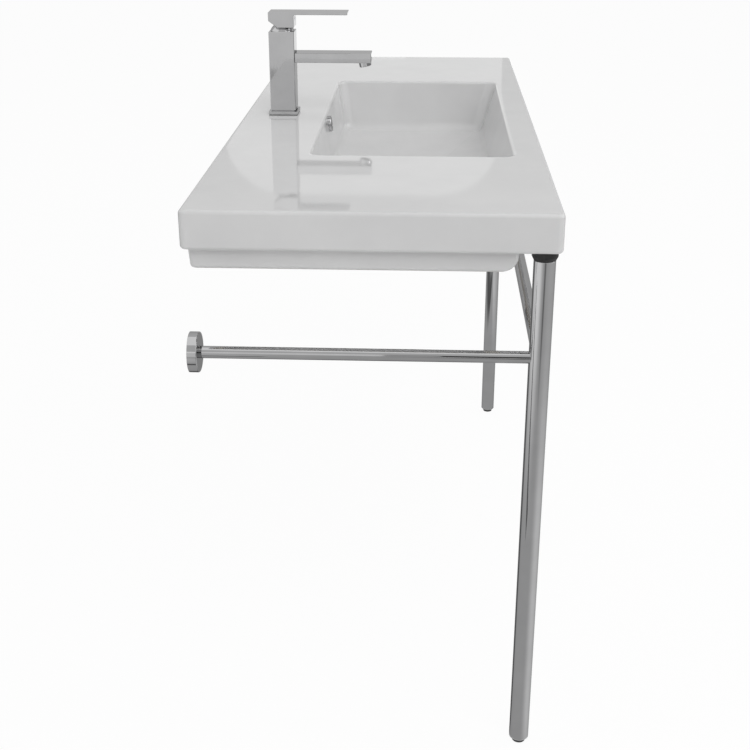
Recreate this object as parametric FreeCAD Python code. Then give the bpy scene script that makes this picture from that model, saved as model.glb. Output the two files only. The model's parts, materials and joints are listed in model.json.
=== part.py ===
import FreeCAD, Part
import math
import os

# A console bathroom sink: a long slab basin in glazed ceramic, fixed to the wall along its
# back edge and carried in front by a chromed two-leg stand, with a square lever tap.
# Millimetres. +Z is up, +X runs along the basin, the wall is the plane y = 0 and the user
# stands on the -Y side. The origin lies midway between the two wall fixing holes.

# Overall sizes
basin_length = 1220.0
basin_depth = 470.0
rim_height = 800.0
fixing_drop = 32.0
overrun = 5.0
join_overlap = 2.0
fit_gap = 0.1
running_gap = 0.08
moving_gap = 0.4

# Ceramic slab and the lower body under it
slab_height = 50.0
slab_corner_radius = 9.0
slab_edge_radius = 5.0
plinth_height = 28.0
plinth_end_inset = 14.0
plinth_back_inset = 7.5
plinth_front_inset = 52.5
plinth_back_draft = 2.5
plinth_nose_radius = 22.0
plinth_end_radius = 8.0

# Bowl
bowl_length = 611.0
bowl_front_rim = 44.0
bowl_back_ledge = 134.0
bowl_edge_depth = 87.0
bowl_end_draft = 14.0
bowl_front_draft = 26.0
bowl_back_draft = 12.0
bowl_floor_radius = 16.0
bowl_corner_step = 2.0
bowl_rim_radius = 5.0
bowl_wall = 13.0
bowl_floor_fall = 11.0
bowl_floor_thickness = 12.0
bulge_edge_radius = 14.0

# Hollows under the ledges
bay_wall = 15.0
bay_roof = 16.0
bay_front_wall = 31.0
bay_corner_radius = 14.0
tap_ledge_thickness = 18.0
tap_pocket_width = 92.0
tap_pocket_back_wall = 24.0
fixing_spacing = 280.0
fixing_hole_radius = 7.0
fixing_wall = 18.0
fixing_pocket_width = 56.0
fixing_pocket_depth = 50.0
fixing_pocket_roof = 14.0

# Overflow passage inside the ceramic
overflow_drop = 18.0
overflow_hole_radius = 10.0
duct_width = 30.0
duct_depth = 11.0
duct_front_wall = 10.0
duct_back_wall = 12.0
duct_floor = 10.0
rib_side_wall = 11.0
rib_bend_radius = 18.0

# Overflow ring
overflow_ring_radius = 13.0
overflow_ring_height = 6.0
overflow_ring_edge = 2.0
overflow_sleeve_length = 7.0
overflow_sleeve_wall = 1.2

# Waste fitting
drain_hole_radius = 22.5
drain_boss_wall = 20.0
drain_seat_radius = 33.0
drain_seat_depth = 3.0
drain_plateau_margin = 4.0
waste_flange_radius = 31.5
waste_flange_thickness = 2.2
waste_flange_edge = 0.8
waste_tube_radius = 20.8
waste_tube_wall = 2.6
waste_thread_length = 36.0
waste_slot_width = 16.0
waste_seal_thickness = 1.2
waste_seal_width = 8.0
lower_seal_height = 5.0
lower_seal_width = 9.0
waste_nut_height = 10.0
waste_nut_flats = 58.0
coupling_flats = 50.0
coupling_height = 20.0
coupling_floor = 3.0
tail_radius = 16.0
tail_wall = 1.2
tail_length = 95.0
tail_lip = 4.0
tail_lip_height = 3.0
tail_collar_wall = 0.8
tail_collar_length = 8.0

# Press plug of the waste
plug_travel = 9.0
plug_radius = 30.5
plug_thickness = 3.0
plug_crown = 2.0
plug_boss_radius = 7.0
plug_boss_height = 5.0
plug_seal_thickness = 2.0
plug_seal_width = 6.0
plug_stem_radius = 4.0
plug_stem_length = 42.0
click_hub_radius = 7.5
click_hub_height = 18.0
click_arm_width = 4.0
click_arm_height = 6.0
click_ring_wall = 1.6
click_arm_count = 3
click_drop = 16.0

# Tap column and base
tap_setback = 64.0
tap_hole_radius = 17.5
tap_seal_thickness = 1.0
tap_seal_inset = 1.0
tap_plate_width = 47.5
tap_plate_height = 5.0
tap_plate_bevel = 0.8
tap_plate_bore_radius = 17.3
tap_width = 41.0
tap_edge_radius = 1.0
tap_neck_inset = 2.0
tap_neck_height = 1.6
column_height = 125.0
waterway_radius = 4.5
inlet_radius = 4.45
inlet_depth = 14.0
inlet_offset = 8.0
inlet_forward = 5.0

# Spout and aerator
spout_reach = 124.0
spout_width = 38.0
spout_height = 15.0
spout_rise = 84.0
spout_edge_radius = 1.0
aerator_setback = 11.5
aerator_radius = 9.8
aerator_drop = 7.5
aerator_tilt_angle = 12.0
aerator_thread_radius = 9.0
aerator_thread_length = 7.0
aerator_wall = 1.4
aerator_insert_height = 3.0
aerator_insert_lip = 0.8
aerator_hole_radius = 1.1
aerator_ring_share = 0.55
aerator_hole_count = 8

# Cartridge under the lever
cartridge_bore_radius = 17.6
cartridge_depth = 37.0
cartridge_body_height = 25.0
cartridge_hub_radius = 13.0
cartridge_hub_height = 6.0
cartridge_seal_wire = 1.0
cartridge_seal_play = 0.4
riser_radius = 2.25
outlet_port_setback = 6.0
cartridge_nut_height = 5.0
pivot_drop = 7.7
rotor_radius = 9.0
rotor_below = 6.0
rotor_above = 3.0
rotor_slot_length = 14.6
rotor_well_depth = 10.0
spindle_width = 7.0
spindle_below = 7.0
spindle_above = 32.0
pin_radius = 1.5
dome_radius = 21.0
dome_wall = 1.6
dome_mouth_radius = 12.6
dome_skirt_height = 3.6
dome_skirt_wall = 1.4

# Lever
lever_gap = 6.4
lever_head_height = 24.0
lever_reach = 86.0
lever_thickness = 4.0
lever_heel_run = 15.0
lever_heel_rise = 10.7
lever_root_radius = 2.5
lever_edge_radius = 0.8
grub_radius = 2.5
grub_length = 9.0
grub_drop = 11.5
index_radius = 3.4
index_depth = 2.4

# Clamp under the tap ledge
stud_radius = 4.0
stud_offset = 13.0
stud_engagement = 12.0
stud_tail = 12.0
clamp_radius = 28.0
clamp_gap_radius = 16.0
clamp_gap_forward = 9.0
clamp_gasket_thickness = 3.0
clamp_plate_thickness = 2.5
clamp_nut_flats = 13.0
clamp_nut_height = 6.5

# Stand
leg_radius = 14.0
leg_wall = 1.5
leg_end_inset = 30.0
leg_front_inset = 20.0
pad_height = 15.0
pad_top_radius = 16.6
pad_lip_height = 10.0
pad_stud_length = 22.0
screw_radius = 4.0
leg_plug_length = 26.0
end_plug_chamfer = 3.2
end_plug_rim = 1.0
foot_radius = 9.6
foot_height = 4.5
foot_edge = 1.2
foot_engagement = 20.0
foot_travel = 10.0
rail_drop = 196.0
front_rail_radius = 9.5
side_rail_radius = 8.0
rail_wall = 1.5
rail_plug_length = 18.0
rail_plug_recess = 6.0
rail_stud_radius = 3.0
rail_stud_grip = 12.0
insert_radius = 4.6
insert_length = 9.0

# Wall flanges
rosette_radius = 26.5
rosette_height = 13.0
rosette_wall = 2.0
rosette_edge_radius = 1.5
plate_thickness = 4.0
plate_hole_radius = 2.6
plate_hole_circle = 30.0
plate_hole_count = 3
spigot_length = 22.0
rosette_grub_radius = 1.0

# Heights and places worked out from the sizes above
rim_z = fixing_drop
slab_bottom_z = rim_z - slab_height
plinth_bottom_z = slab_bottom_z - plinth_height
floor_z = rim_z - rim_height
bowl_corner_radius = bowl_floor_radius + bowl_corner_step
bowl_edge_z = rim_z - bowl_edge_depth
plateau_z = bowl_edge_z - bowl_floor_fall
bulge_bottom_z = plateau_z - bowl_floor_thickness
duct_bottom_z = bulge_bottom_z - duct_depth
boss_bottom_z = duct_bottom_z - duct_floor
half_length = basin_length / 2
half_tap = tap_width / 2
tap_y = -tap_setback
tap_pocket_roof_z = rim_z - tap_ledge_thickness
overflow_z = rim_z - overflow_drop
drain_y = -(basin_depth - bowl_front_rim - bowl_front_draft + bowl_back_ledge + bowl_back_draft) / 2
duct_front_y = -bowl_back_ledge - bowl_back_draft * overflow_drop / bowl_edge_depth + duct_front_wall
duct_back_y = duct_front_y + duct_depth
rib_back_y = duct_back_y + duct_back_wall
plate_z = rim_z + tap_seal_thickness
neck_z = plate_z + tap_plate_height
column_z = neck_z + tap_neck_height
column_top_z = column_z + column_height
cartridge_seat_z = column_top_z - cartridge_depth
pivot_z = column_top_z - pivot_drop
lever_bottom_z = column_top_z + lever_gap
lever_top_z = lever_bottom_z + lever_head_height
spout_z = rim_z + spout_rise
aerator_y = tap_y - half_tap - spout_reach + aerator_setback
leg_x = half_length - leg_end_inset
leg_y = -basin_depth + leg_front_inset
leg_top_z = slab_bottom_z - pad_height
foot_stud_length = foot_travel + foot_engagement
end_plug_z = floor_z + foot_height
leg_bottom_z = end_plug_z + end_plug_chamfer + end_plug_rim
rail_z = rim_z - rail_drop
seat_z = plateau_z - drain_seat_depth
flange_z = seat_z + waste_seal_thickness
flange_top_z = flange_z + waste_flange_thickness
waste_bottom_z = boss_bottom_z - waste_thread_length
plug_z = flange_top_z + moving_gap + plug_seal_thickness + plug_travel
waste_bore_radius = waste_tube_radius - waste_tube_wall
hole_in_leg = leg_radius - leg_wall


def vector(x, y, z):
    return FreeCAD.Vector(x, y, z)


def block(x0, x1, y0, y1, z0, z1):
    return Part.makeBox(x1 - x0, y1 - y0, z1 - z0, vector(x0, y0, z0))


def upright(x, y, z0, z1, radius):
    return Part.makeCylinder(radius, z1 - z0, vector(x, y, z0))


def upright_ring(x, y, z0, z1, outer, inner):
    return upright(x, y, z0, z1, outer).cut(upright(x, y, z0, z1, inner))


def along_x(x0, x1, y, z, radius):
    return Part.makeCylinder(radius, x1 - x0, vector(x0, y, z), vector(1, 0, 0))


def along_y(x, y0, y1, z, radius):
    return Part.makeCylinder(radius, y1 - y0, vector(x, y0, z), vector(0, 1, 0))


def hex_bar(x, y, z0, z1, flats):
    corner = flats / math.sqrt(3)
    points = [vector(x + corner * math.cos(math.radians(a)), y + corner * math.sin(math.radians(a)), z0)
              for a in range(0, 361, 60)]
    return Part.Face(Part.makePolygon(points)).extrude(vector(0, 0, z1 - z0))


def turned(x, y, profile):
    # Revolve (radius, height) points about the upright axis through (x, y).
    points = [vector(x + radius, y, height) for radius, height in profile + profile[:1]]
    return Part.Face(Part.makePolygon(points)).revolve(vector(x, y, 0), vector(0, 0, 1), 360)


def frustum(top, bottom, top_z, bottom_z):
    # A flat-sided hopper between two level rectangles, each (x0, x1, y0, y1).
    wedge = Part.makeWedge(bottom[0], bottom_z, -bottom[3], -top[3], top[0],
                           bottom[1], top_z, -bottom[2], -top[2], top[1])
    wedge.rotate(vector(0, 0, 0), vector(1, 0, 0), 90)
    return wedge


def rounded(shape, radius, chosen):
    return shape.makeFillet(radius, [edge for edge in shape.Edges if chosen(edge.BoundBox)])


def near(a, b):
    return abs(a - b) < fit_gap


def upright_edge(box):
    return box.ZLength > box.XLength + box.YLength


def sloping_edge(box):
    return box.ZLength > join_overlap


def export(node, shape):
    shape.removeSplitter().exportStep("parts/" + node + ".step")


def sides():
    return (("left", -1), ("right", 1))


# Basin

def bowl_rectangle(z, grow):
    # The bowl's plan at a height, its straight walls carried on past the floor.
    drop_share = (rim_z - z) / bowl_edge_depth
    half = bowl_length / 2 - bowl_end_draft * drop_share + grow
    front = -basin_depth + bowl_front_rim + bowl_front_draft * drop_share - grow
    back = -bowl_back_ledge - bowl_back_draft * drop_share + grow
    return (-half, half, front, back)


def slab():
    shape = block(-half_length, half_length, -basin_depth, 0, slab_bottom_z, rim_z)
    shape = rounded(shape, slab_corner_radius, upright_edge)
    return rounded(shape, slab_edge_radius, lambda box: box.ZLength < fit_gap)


def plinth():
    # Lower body: upright front with a broad nose radius, leaning back face.
    half = half_length - plinth_end_inset
    front = -basin_depth + plinth_front_inset
    nose = plinth_nose_radius
    back = -plinth_back_inset
    slack = nose * (1 - math.sqrt(2) / 2)
    top_z = slab_bottom_z + join_overlap
    start = vector(-half, front, top_z)
    nose_top = vector(-half, front, plinth_bottom_z + nose)
    nose_mid = vector(-half, front + slack, plinth_bottom_z + slack)
    nose_end = vector(-half, front + nose, plinth_bottom_z)
    heel = vector(-half, back - plinth_back_draft, plinth_bottom_z)
    top = vector(-half, back, top_z)
    outline = Part.Wire([Part.makeLine(start, nose_top),
                         Part.Arc(nose_top, nose_mid, nose_end).toShape(),
                         Part.makeLine(nose_end, heel),
                         Part.makeLine(heel, top),
                         Part.makeLine(top, start)])
    body = Part.Face(outline).extrude(vector(2 * half, 0, 0))
    return rounded(body, plinth_end_radius, lambda box: sloping_edge(box) and near(box.YMax, back))


def bowl_bulge():
    top_z = slab_bottom_z
    body = frustum(bowl_rectangle(top_z, bowl_wall), bowl_rectangle(bulge_bottom_z, bowl_wall),
                   top_z, bulge_bottom_z)
    body = rounded(body, bowl_corner_radius + bowl_wall, sloping_edge)
    return rounded(body, bulge_edge_radius, lambda box: near(box.ZMax, bulge_bottom_z))


def overflow_rib():
    half = duct_width / 2 + rib_side_wall
    body = block(-half, half, drain_y, rib_back_y, boss_bottom_z, slab_bottom_z)
    return rounded(body, rib_bend_radius,
                   lambda box: near(box.YMin, rib_back_y) and near(box.ZMax, boss_bottom_z))


def drain_boss():
    return upright(0, drain_y, boss_bottom_z, plateau_z, drain_hole_radius + drain_boss_wall)


def bowl_pit():
    pit = frustum(bowl_rectangle(rim_z, 0), bowl_rectangle(bowl_edge_z, 0), rim_z, bowl_edge_z)
    pit = rounded(pit, bowl_corner_radius, sloping_edge)
    return rounded(pit, bowl_floor_radius, lambda box: near(box.ZMax, bowl_edge_z))


def bowl_fall():
    # Four shallow planes that lead the water from the flat floor to the drain.
    reach = drain_seat_radius + drain_plateau_margin
    top = bowl_rectangle(bowl_edge_z, -bowl_floor_radius)
    return frustum(top, (-reach, reach, drain_y - reach, drain_y + reach), bowl_edge_z, plateau_z)


def on_bowl_rim(box):
    left, right, front, back = bowl_rectangle(rim_z, join_overlap)
    level = near(box.ZMin, rim_z) and near(box.ZMax, rim_z)
    return level and box.XMin > left and box.XMax < right and box.YMin > front and box.YMax < back


def bay(side):
    inner = bowl_length / 2 + bowl_wall
    outer = half_length - plinth_end_inset - bay_wall
    front = -basin_depth + plinth_front_inset + bay_front_wall
    back = -plinth_back_inset - plinth_back_draft - bay_wall
    x0, x1 = sorted((side * inner, side * outer))
    hollow = block(x0, x1, front, back, plinth_bottom_z - overrun, rim_z - bay_roof)
    return rounded(hollow, bay_corner_radius, upright_edge)


def tap_pocket():
    half = tap_pocket_width / 2
    bottom = plinth_bottom_z - overrun
    return block(-half, half, rib_back_y, -tap_pocket_back_wall, bottom, tap_pocket_roof_z)


def fixing_pocket(side):
    middle = side * fixing_spacing / 2
    half = fixing_pocket_width / 2
    back = -fixing_wall
    pocket = block(middle - half, middle + half, back - fixing_pocket_depth, back,
                   plinth_bottom_z - overrun, rim_z - fixing_pocket_roof)
    return pocket.fuse(along_y(middle, back - join_overlap, overrun, 0, fixing_hole_radius))


def lean_of_back_wall():
    return math.degrees(math.atan(bowl_back_draft / bowl_edge_depth))


def square_to_back_wall(shape):
    # Tip a shape built along -Y at the overflow's height to lie square to the leaning wall.
    turned_shape = shape.copy()
    turned_shape.rotate(vector(0, overflow_wall_y(), overflow_z), vector(1, 0, 0), -lean_of_back_wall())
    return turned_shape


def overflow_wall_y():
    return -bowl_back_ledge - bowl_back_draft * overflow_drop / bowl_edge_depth


def overflow_passage():
    half = duct_width / 2
    wall_y = overflow_wall_y()
    mouth = along_y(0, wall_y - overrun, duct_front_y + join_overlap, overflow_z, overflow_hole_radius)
    drop = block(-half, half, duct_front_y, duct_back_y, duct_bottom_z, overflow_z + overflow_hole_radius)
    run = block(-half, half, drain_y, duct_back_y, duct_bottom_z, bulge_bottom_z)
    return square_to_back_wall(mouth).fuse([drop, run])


def basin():
    body = slab().fuse([plinth(), bowl_bulge(), overflow_rib(), drain_boss()]).removeSplitter()
    body = body.cut(bowl_pit())
    body = rounded(body, bowl_rim_radius, on_bowl_rim)
    drain = upright(0, drain_y, boss_bottom_z - overrun, plateau_z, drain_hole_radius)
    seat = upright(0, drain_y, seat_z, plateau_z + overrun, drain_seat_radius)
    tap_hole = upright(0, tap_y, tap_pocket_roof_z - overrun, rim_z + overrun, tap_hole_radius)
    cuts = [bowl_fall(), drain, seat, tap_hole, tap_pocket(), overflow_passage()]
    cuts += [bay(side) for name, side in sides()] + [fixing_pocket(side) for name, side in sides()]
    for cut in cuts:
        body = body.cut(cut)
    return body


def overflow_ring():
    wall_y = overflow_wall_y()
    outer = overflow_hole_radius - fit_gap
    inner = outer - overflow_sleeve_wall
    face = along_y(0, wall_y - overflow_ring_height, wall_y, overflow_z, overflow_ring_radius)
    face = rounded(face, overflow_ring_edge, lambda box: near(box.YMax, wall_y - overflow_ring_height))
    sleeve = along_y(0, wall_y, wall_y + overflow_sleeve_length, overflow_z, outer)
    bore = along_y(0, wall_y - overrun, wall_y + overflow_sleeve_length + overrun, overflow_z, inner)
    return square_to_back_wall(face.fuse(sleeve).cut(bore))


# Waste

def waste_body():
    flange = upright(0, drain_y, flange_z, flange_top_z, waste_flange_radius)
    flange = rounded(flange, waste_flange_edge, lambda box: near(box.ZMin, flange_top_z))
    tube = upright(0, drain_y, waste_bottom_z, flange_top_z - join_overlap, waste_tube_radius)
    bore = upright(0, drain_y, waste_bottom_z - overrun, flange_top_z + overrun, waste_bore_radius)
    half = waste_slot_width / 2
    reach = waste_tube_radius + overrun
    slot = block(-half, half, drain_y - reach, drain_y + reach, duct_bottom_z, bulge_bottom_z)
    return flange.fuse(tube).cut(bore).cut(slot)


def waste_upper_seal():
    inner = drain_hole_radius
    return upright_ring(0, drain_y, seat_z, flange_z, inner + waste_seal_width, inner)


def waste_lower_seal():
    inner = waste_tube_radius + fit_gap
    outer = inner + lower_seal_width
    top = boss_bottom_z
    bottom = top - lower_seal_height
    profile = [(inner, bottom), (outer, bottom), (outer - lower_seal_height / 2, top), (inner, top)]
    return turned(0, drain_y, profile)


def waste_nut():
    top = boss_bottom_z - lower_seal_height
    bottom = top - waste_nut_height
    nut = hex_bar(0, drain_y, bottom, top, waste_nut_flats)
    return nut.cut(upright(0, drain_y, bottom, top, waste_tube_radius + fit_gap))


def tailpiece():
    # Flanged tube; a short collar under the flange centres the coupling nut.
    top = waste_bottom_z
    shelf = top - tail_lip_height
    lip = upright(0, drain_y, shelf, top, tail_radius + tail_lip)
    collar = upright(0, drain_y, shelf - tail_collar_length, top, tail_radius + tail_collar_wall)
    tube = upright(0, drain_y, top - tail_length, top, tail_radius)
    bore = upright(0, drain_y, top - tail_length, top, tail_radius - tail_wall)
    return lip.fuse([collar, tube]).cut(bore)


def coupling_nut():
    shelf = waste_bottom_z - tail_lip_height
    bottom = shelf - coupling_floor
    nut = hex_bar(0, drain_y, bottom, bottom + coupling_height, coupling_flats)
    nut = nut.cut(upright(0, drain_y, shelf, bottom + coupling_height, waste_tube_radius + fit_gap))
    return nut.cut(upright(0, drain_y, bottom, shelf, tail_radius + tail_collar_wall + fit_gap))


def click_holder():
    # Three-armed carrier pressed into the waste; the plug's stem clicks in its hub.
    top = flange_top_z - click_drop
    outer = waste_bore_radius - fit_gap
    hub = upright(0, drain_y, top - click_hub_height, top, click_hub_radius)
    shape = upright_ring(0, drain_y, top - click_arm_height, top, outer, outer - click_ring_wall)
    half = click_arm_width / 2
    arm = block(0, outer - click_ring_wall / 2, drain_y - half, drain_y + half, top - click_arm_height, top)
    arms = []
    for index in range(click_arm_count):
        arms.append(arm.copy())
        arms[-1].rotate(vector(0, drain_y, 0), vector(0, 0, 1), 360 * index / click_arm_count)
    bore = upright(0, drain_y, top - click_hub_height, top, plug_stem_radius + running_gap)
    return shape.fuse(arms + [hub]).cut(bore)


def plug_cap():
    # A shallow crowned cap on a short boss.
    rim_top = plug_z + plug_thickness
    sagitta = plug_crown
    ball = (plug_radius ** 2 + sagitta ** 2) / (2 * sagitta)
    cap = upright(0, drain_y, plug_z, rim_top + plug_crown, plug_radius)
    cap = cap.common(Part.makeSphere(ball, vector(0, drain_y, rim_top + plug_crown - ball)))
    return cap.fuse(upright(0, drain_y, plug_z - plug_boss_height, plug_z + join_overlap, plug_boss_radius))


def plug_seal():
    outer = waste_bore_radius + plug_seal_width / 2
    return upright_ring(0, drain_y, plug_z - plug_seal_thickness, plug_z, outer, outer - plug_seal_width)


def plug_stem():
    top = plug_z - plug_boss_height
    return upright(0, drain_y, top - plug_stem_length, top, plug_stem_radius)


# Tap

def tap_square(width, z0, z1):
    half = width / 2
    return block(-half, half, tap_y - half, tap_y + half, z0, z1)


def tap_base_seal():
    shape = tap_square(tap_plate_width - 2 * tap_seal_inset, rim_z, plate_z)
    return shape.cut(upright(0, tap_y, rim_z, plate_z, tap_plate_bore_radius))


def tap_base_plate():
    shape = tap_square(tap_plate_width, plate_z, neck_z)
    shape = rounded(shape, tap_edge_radius, upright_edge)
    shape = rounded(shape, tap_plate_bevel, lambda box: near(box.ZMin, neck_z))
    return shape.cut(upright(0, tap_y, plate_z, neck_z, tap_plate_bore_radius))


def tap_column():
    # Square brass column: cartridge bore from above, two inlets and the stud from below.
    shape = rounded(tap_square(tap_width, column_z, column_top_z), tap_edge_radius, upright_edge)
    shape = shape.fuse(tap_square(tap_width - 2 * tap_neck_inset, neck_z, column_z))
    waterway_z = spout_z + spout_height / 2
    cuts = [upright(0, tap_y, cartridge_seat_z, column_top_z, cartridge_bore_radius),
            upright(0, tap_y + stud_offset, neck_z, neck_z + stud_engagement, stud_radius + fit_gap),
            along_y(0, tap_y - half_tap, tap_y + outlet_port_setback, waterway_z, waterway_radius),
            upright(0, tap_y + outlet_port_setback, waterway_z, cartridge_seat_z, waterway_radius)]
    for name, side in sides():
        x = side * inlet_offset
        y = tap_y - inlet_forward
        cuts.append(upright(x, y, neck_z, neck_z + inlet_depth, inlet_radius))
        cuts.append(upright(x, y, neck_z + inlet_depth, cartridge_seat_z, riser_radius))
    for cut in cuts:
        shape = shape.cut(cut)
    return shape


def aerator_hole():
    top = spout_z + aerator_thread_length + fit_gap
    return upright(0, aerator_y, spout_z, top, aerator_thread_radius + fit_gap)


def spout():
    root = tap_y - half_tap
    half = spout_width / 2
    bar = block(-half, half, root - spout_reach, root, spout_z, spout_z + spout_height)
    bar = rounded(bar, spout_edge_radius, lambda box: box.YLength > spout_width)
    waterway_z = spout_z + spout_height / 2
    bar = bar.cut(along_y(0, aerator_y, root, waterway_z, waterway_radius))
    return bar.cut(aerator_hole())


def aerator_housing():
    # The outlet collar leans, so that the water leaves slightly to the front.
    pivot = vector(0, aerator_y, spout_z)
    bottom = spout_z - aerator_drop
    top = spout_z + aerator_thread_length
    bore_radius = aerator_thread_radius - aerator_wall
    collar = upright(0, aerator_y, bottom, spout_z + aerator_radius, aerator_radius)
    outlet = upright(0, aerator_y, bottom - overrun, spout_z + join_overlap, bore_radius)
    for shape in (collar, outlet):
        shape.rotate(pivot, vector(1, 0, 0), -aerator_tilt_angle)
    reach = 2 * aerator_radius
    above = block(-reach, reach, aerator_y - reach, aerator_y + reach, spout_z, spout_z + reach)
    sleeve = upright(0, aerator_y, spout_z, top, aerator_thread_radius)
    bore = upright(0, aerator_y, spout_z - join_overlap, top, bore_radius)
    return collar.cut(above).fuse(sleeve).cut(outlet).cut(bore)


def aerator_insert():
    top = spout_z + aerator_thread_length
    radius = aerator_thread_radius - aerator_wall - fit_gap
    bottom = top - aerator_insert_height
    disc = upright(0, aerator_y, bottom, top, radius)
    for index in range(aerator_hole_count):
        angle = 2 * math.pi * index / aerator_hole_count
        x = radius * aerator_ring_share * math.cos(angle)
        y = aerator_y + radius * aerator_ring_share * math.sin(angle)
        disc = disc.cut(upright(x, y, bottom, top, aerator_hole_radius))
    dimple = radius * (1 - aerator_ring_share) / 2
    return disc.cut(upright(0, aerator_y, bottom, bottom + aerator_insert_lip, dimple))


def cartridge_body():
    bottom = cartridge_seat_z + cartridge_seal_wire
    shoulder = bottom + cartridge_body_height
    top = shoulder + cartridge_hub_height
    body = upright(0, tap_y, bottom, shoulder, cartridge_bore_radius - fit_gap)
    body = body.fuse(upright(0, tap_y, shoulder, top, cartridge_hub_radius))
    body = body.cut(upright(0, tap_y, pivot_z - rotor_well_depth, top, rotor_radius + running_gap))
    for x, y, radius in cartridge_ports():
        body = body.cut(upright(x, y, bottom, pivot_z - rotor_well_depth - join_overlap, radius))
    return body


def cartridge_ports():
    # Hot and cold risers side by side in front, the outlet behind them.
    return [(-inlet_offset, tap_y - inlet_forward, riser_radius),
            (inlet_offset, tap_y - inlet_forward, riser_radius),
            (0, tap_y + outlet_port_setback, waterway_radius)]


def cartridge_seals():
    # One flat ring round each of the three ports in the cartridge's floor.
    z0 = cartridge_seat_z
    z1 = z0 + cartridge_seal_wire
    rings = []
    for x, y, radius in cartridge_ports():
        inner = radius + cartridge_seal_play
        rings.append(upright_ring(x, y, z0, z1, inner + cartridge_seal_wire, inner))
    return Part.makeCompound(rings)


def cartridge_nut():
    bottom = cartridge_seat_z + cartridge_seal_wire + cartridge_body_height
    return upright_ring(0, tap_y, bottom, bottom + cartridge_nut_height,
                        cartridge_bore_radius - fit_gap, cartridge_hub_radius + fit_gap)


def cartridge_rotor():
    z0 = pivot_z - rotor_below
    z1 = pivot_z + rotor_above
    half = spindle_width / 2 + running_gap
    slot = block(-half, half, tap_y - rotor_slot_length / 2, tap_y + rotor_slot_length / 2, z0, z1)
    disc = upright(0, tap_y, z0, z1, rotor_radius).cut(slot)
    return disc.cut(along_x(-rotor_radius, rotor_radius, tap_y, pivot_z, pin_radius))


def spindle_pin():
    half = math.sqrt(rotor_radius ** 2 - pin_radius ** 2) - fit_gap
    return along_x(-half, half, tap_y, pivot_z, pin_radius)


def lever_spindle():
    shape = tap_square(spindle_width, pivot_z - spindle_below, pivot_z + spindle_above)
    half = spindle_width / 2
    return shape.cut(along_x(-half, half, tap_y, pivot_z, pin_radius + running_gap))


def tap_dome():
    # Ball-shaped cover centred on the lever's pivot, with a skirt that screws into the column.
    centre = vector(0, tap_y, pivot_z)
    shell = Part.makeSphere(dome_radius, centre).cut(Part.makeSphere(dome_radius - dome_wall, centre))
    shell = shell.common(upright(0, tap_y, column_top_z, pivot_z + dome_radius, dome_radius))
    outer = cartridge_bore_radius - fit_gap
    skirt = upright_ring(0, tap_y, column_top_z - dome_skirt_height, column_top_z + join_overlap,
                         outer, outer - dome_skirt_wall)
    mouth = upright(0, tap_y, column_top_z, pivot_z + dome_radius, dome_mouth_radius)
    return shell.fuse(skirt).cut(mouth)


def lever_handle():
    # Square head and flat blade in one casting, hollowed to a ball so it clears the dome.
    rear = tap_y + half_tap
    front = tap_y - half_tap
    tip = front - lever_reach
    blade_z = lever_top_z - lever_thickness
    points = [(rear, lever_top_z), (rear, lever_bottom_z + lever_heel_rise),
              (rear - lever_heel_run, lever_bottom_z), (front, lever_bottom_z),
              (front, blade_z), (tip, blade_z), (tip, lever_top_z), (rear, lever_top_z)]
    outline = Part.makePolygon([vector(-half_tap, y, z) for y, z in points])
    shape = Part.Face(outline).extrude(vector(tap_width, 0, 0))
    shape = rounded(shape, lever_root_radius,
                    lambda box: near(box.YMin, front) and near(box.YMax, front) and near(box.ZMin, blade_z))
    shape = rounded(shape, lever_edge_radius,
                    lambda box: near(box.ZMin, lever_top_z) or upright_edge(box))
    socket = tap_square(spindle_width + 2 * fit_gap, pivot_z, pivot_z + spindle_above + fit_gap)
    ball = Part.makeSphere(dome_radius + moving_gap, vector(0, tap_y, pivot_z))
    grub_z = lever_top_z - grub_drop
    thread = along_y(0, front - overrun, tap_y, grub_z, grub_radius + fit_gap)
    recess = along_y(0, front - overrun, front + index_depth, grub_z, index_radius + fit_gap)
    for cut in (socket, ball, thread, recess):
        shape = shape.cut(cut)
    return shape


def lever_grub_screw():
    back = tap_y - spindle_width / 2
    return along_y(0, back - grub_length, back, lever_top_z - grub_drop, grub_radius)


def index_plug():
    front = tap_y - half_tap
    return along_y(0, front, front + index_depth, lever_top_z - grub_drop, index_radius)


# Clamp that holds the tap from below

def crescent(z0, z1):
    disc = upright(0, tap_y, z0, z1, clamp_radius)
    gap_y = tap_y - clamp_gap_forward
    half = clamp_gap_radius
    slot = upright(0, gap_y, z0, z1, half)
    slot = slot.fuse(block(-half, half, tap_y - clamp_radius - overrun, gap_y, z0, z1))
    return disc.cut(slot).cut(upright(0, tap_y + stud_offset, z0, z1, stud_radius + fit_gap))


def clamp_gasket():
    return crescent(tap_pocket_roof_z - clamp_gasket_thickness, tap_pocket_roof_z)


def clamp_plate():
    top = tap_pocket_roof_z - clamp_gasket_thickness
    return crescent(top - clamp_plate_thickness, top)


def clamp_nut_top():
    return tap_pocket_roof_z - clamp_gasket_thickness - clamp_plate_thickness


def clamp_nut():
    top = clamp_nut_top()
    nut = hex_bar(0, tap_y + stud_offset, top - clamp_nut_height, top, clamp_nut_flats)
    return nut.cut(upright(0, tap_y + stud_offset, top - clamp_nut_height, top, stud_radius + fit_gap))


def clamp_stud():
    bottom = clamp_nut_top() - clamp_nut_height - stud_tail
    return upright(0, tap_y + stud_offset, bottom, neck_z + stud_engagement, stud_radius)


# Stand

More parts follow.
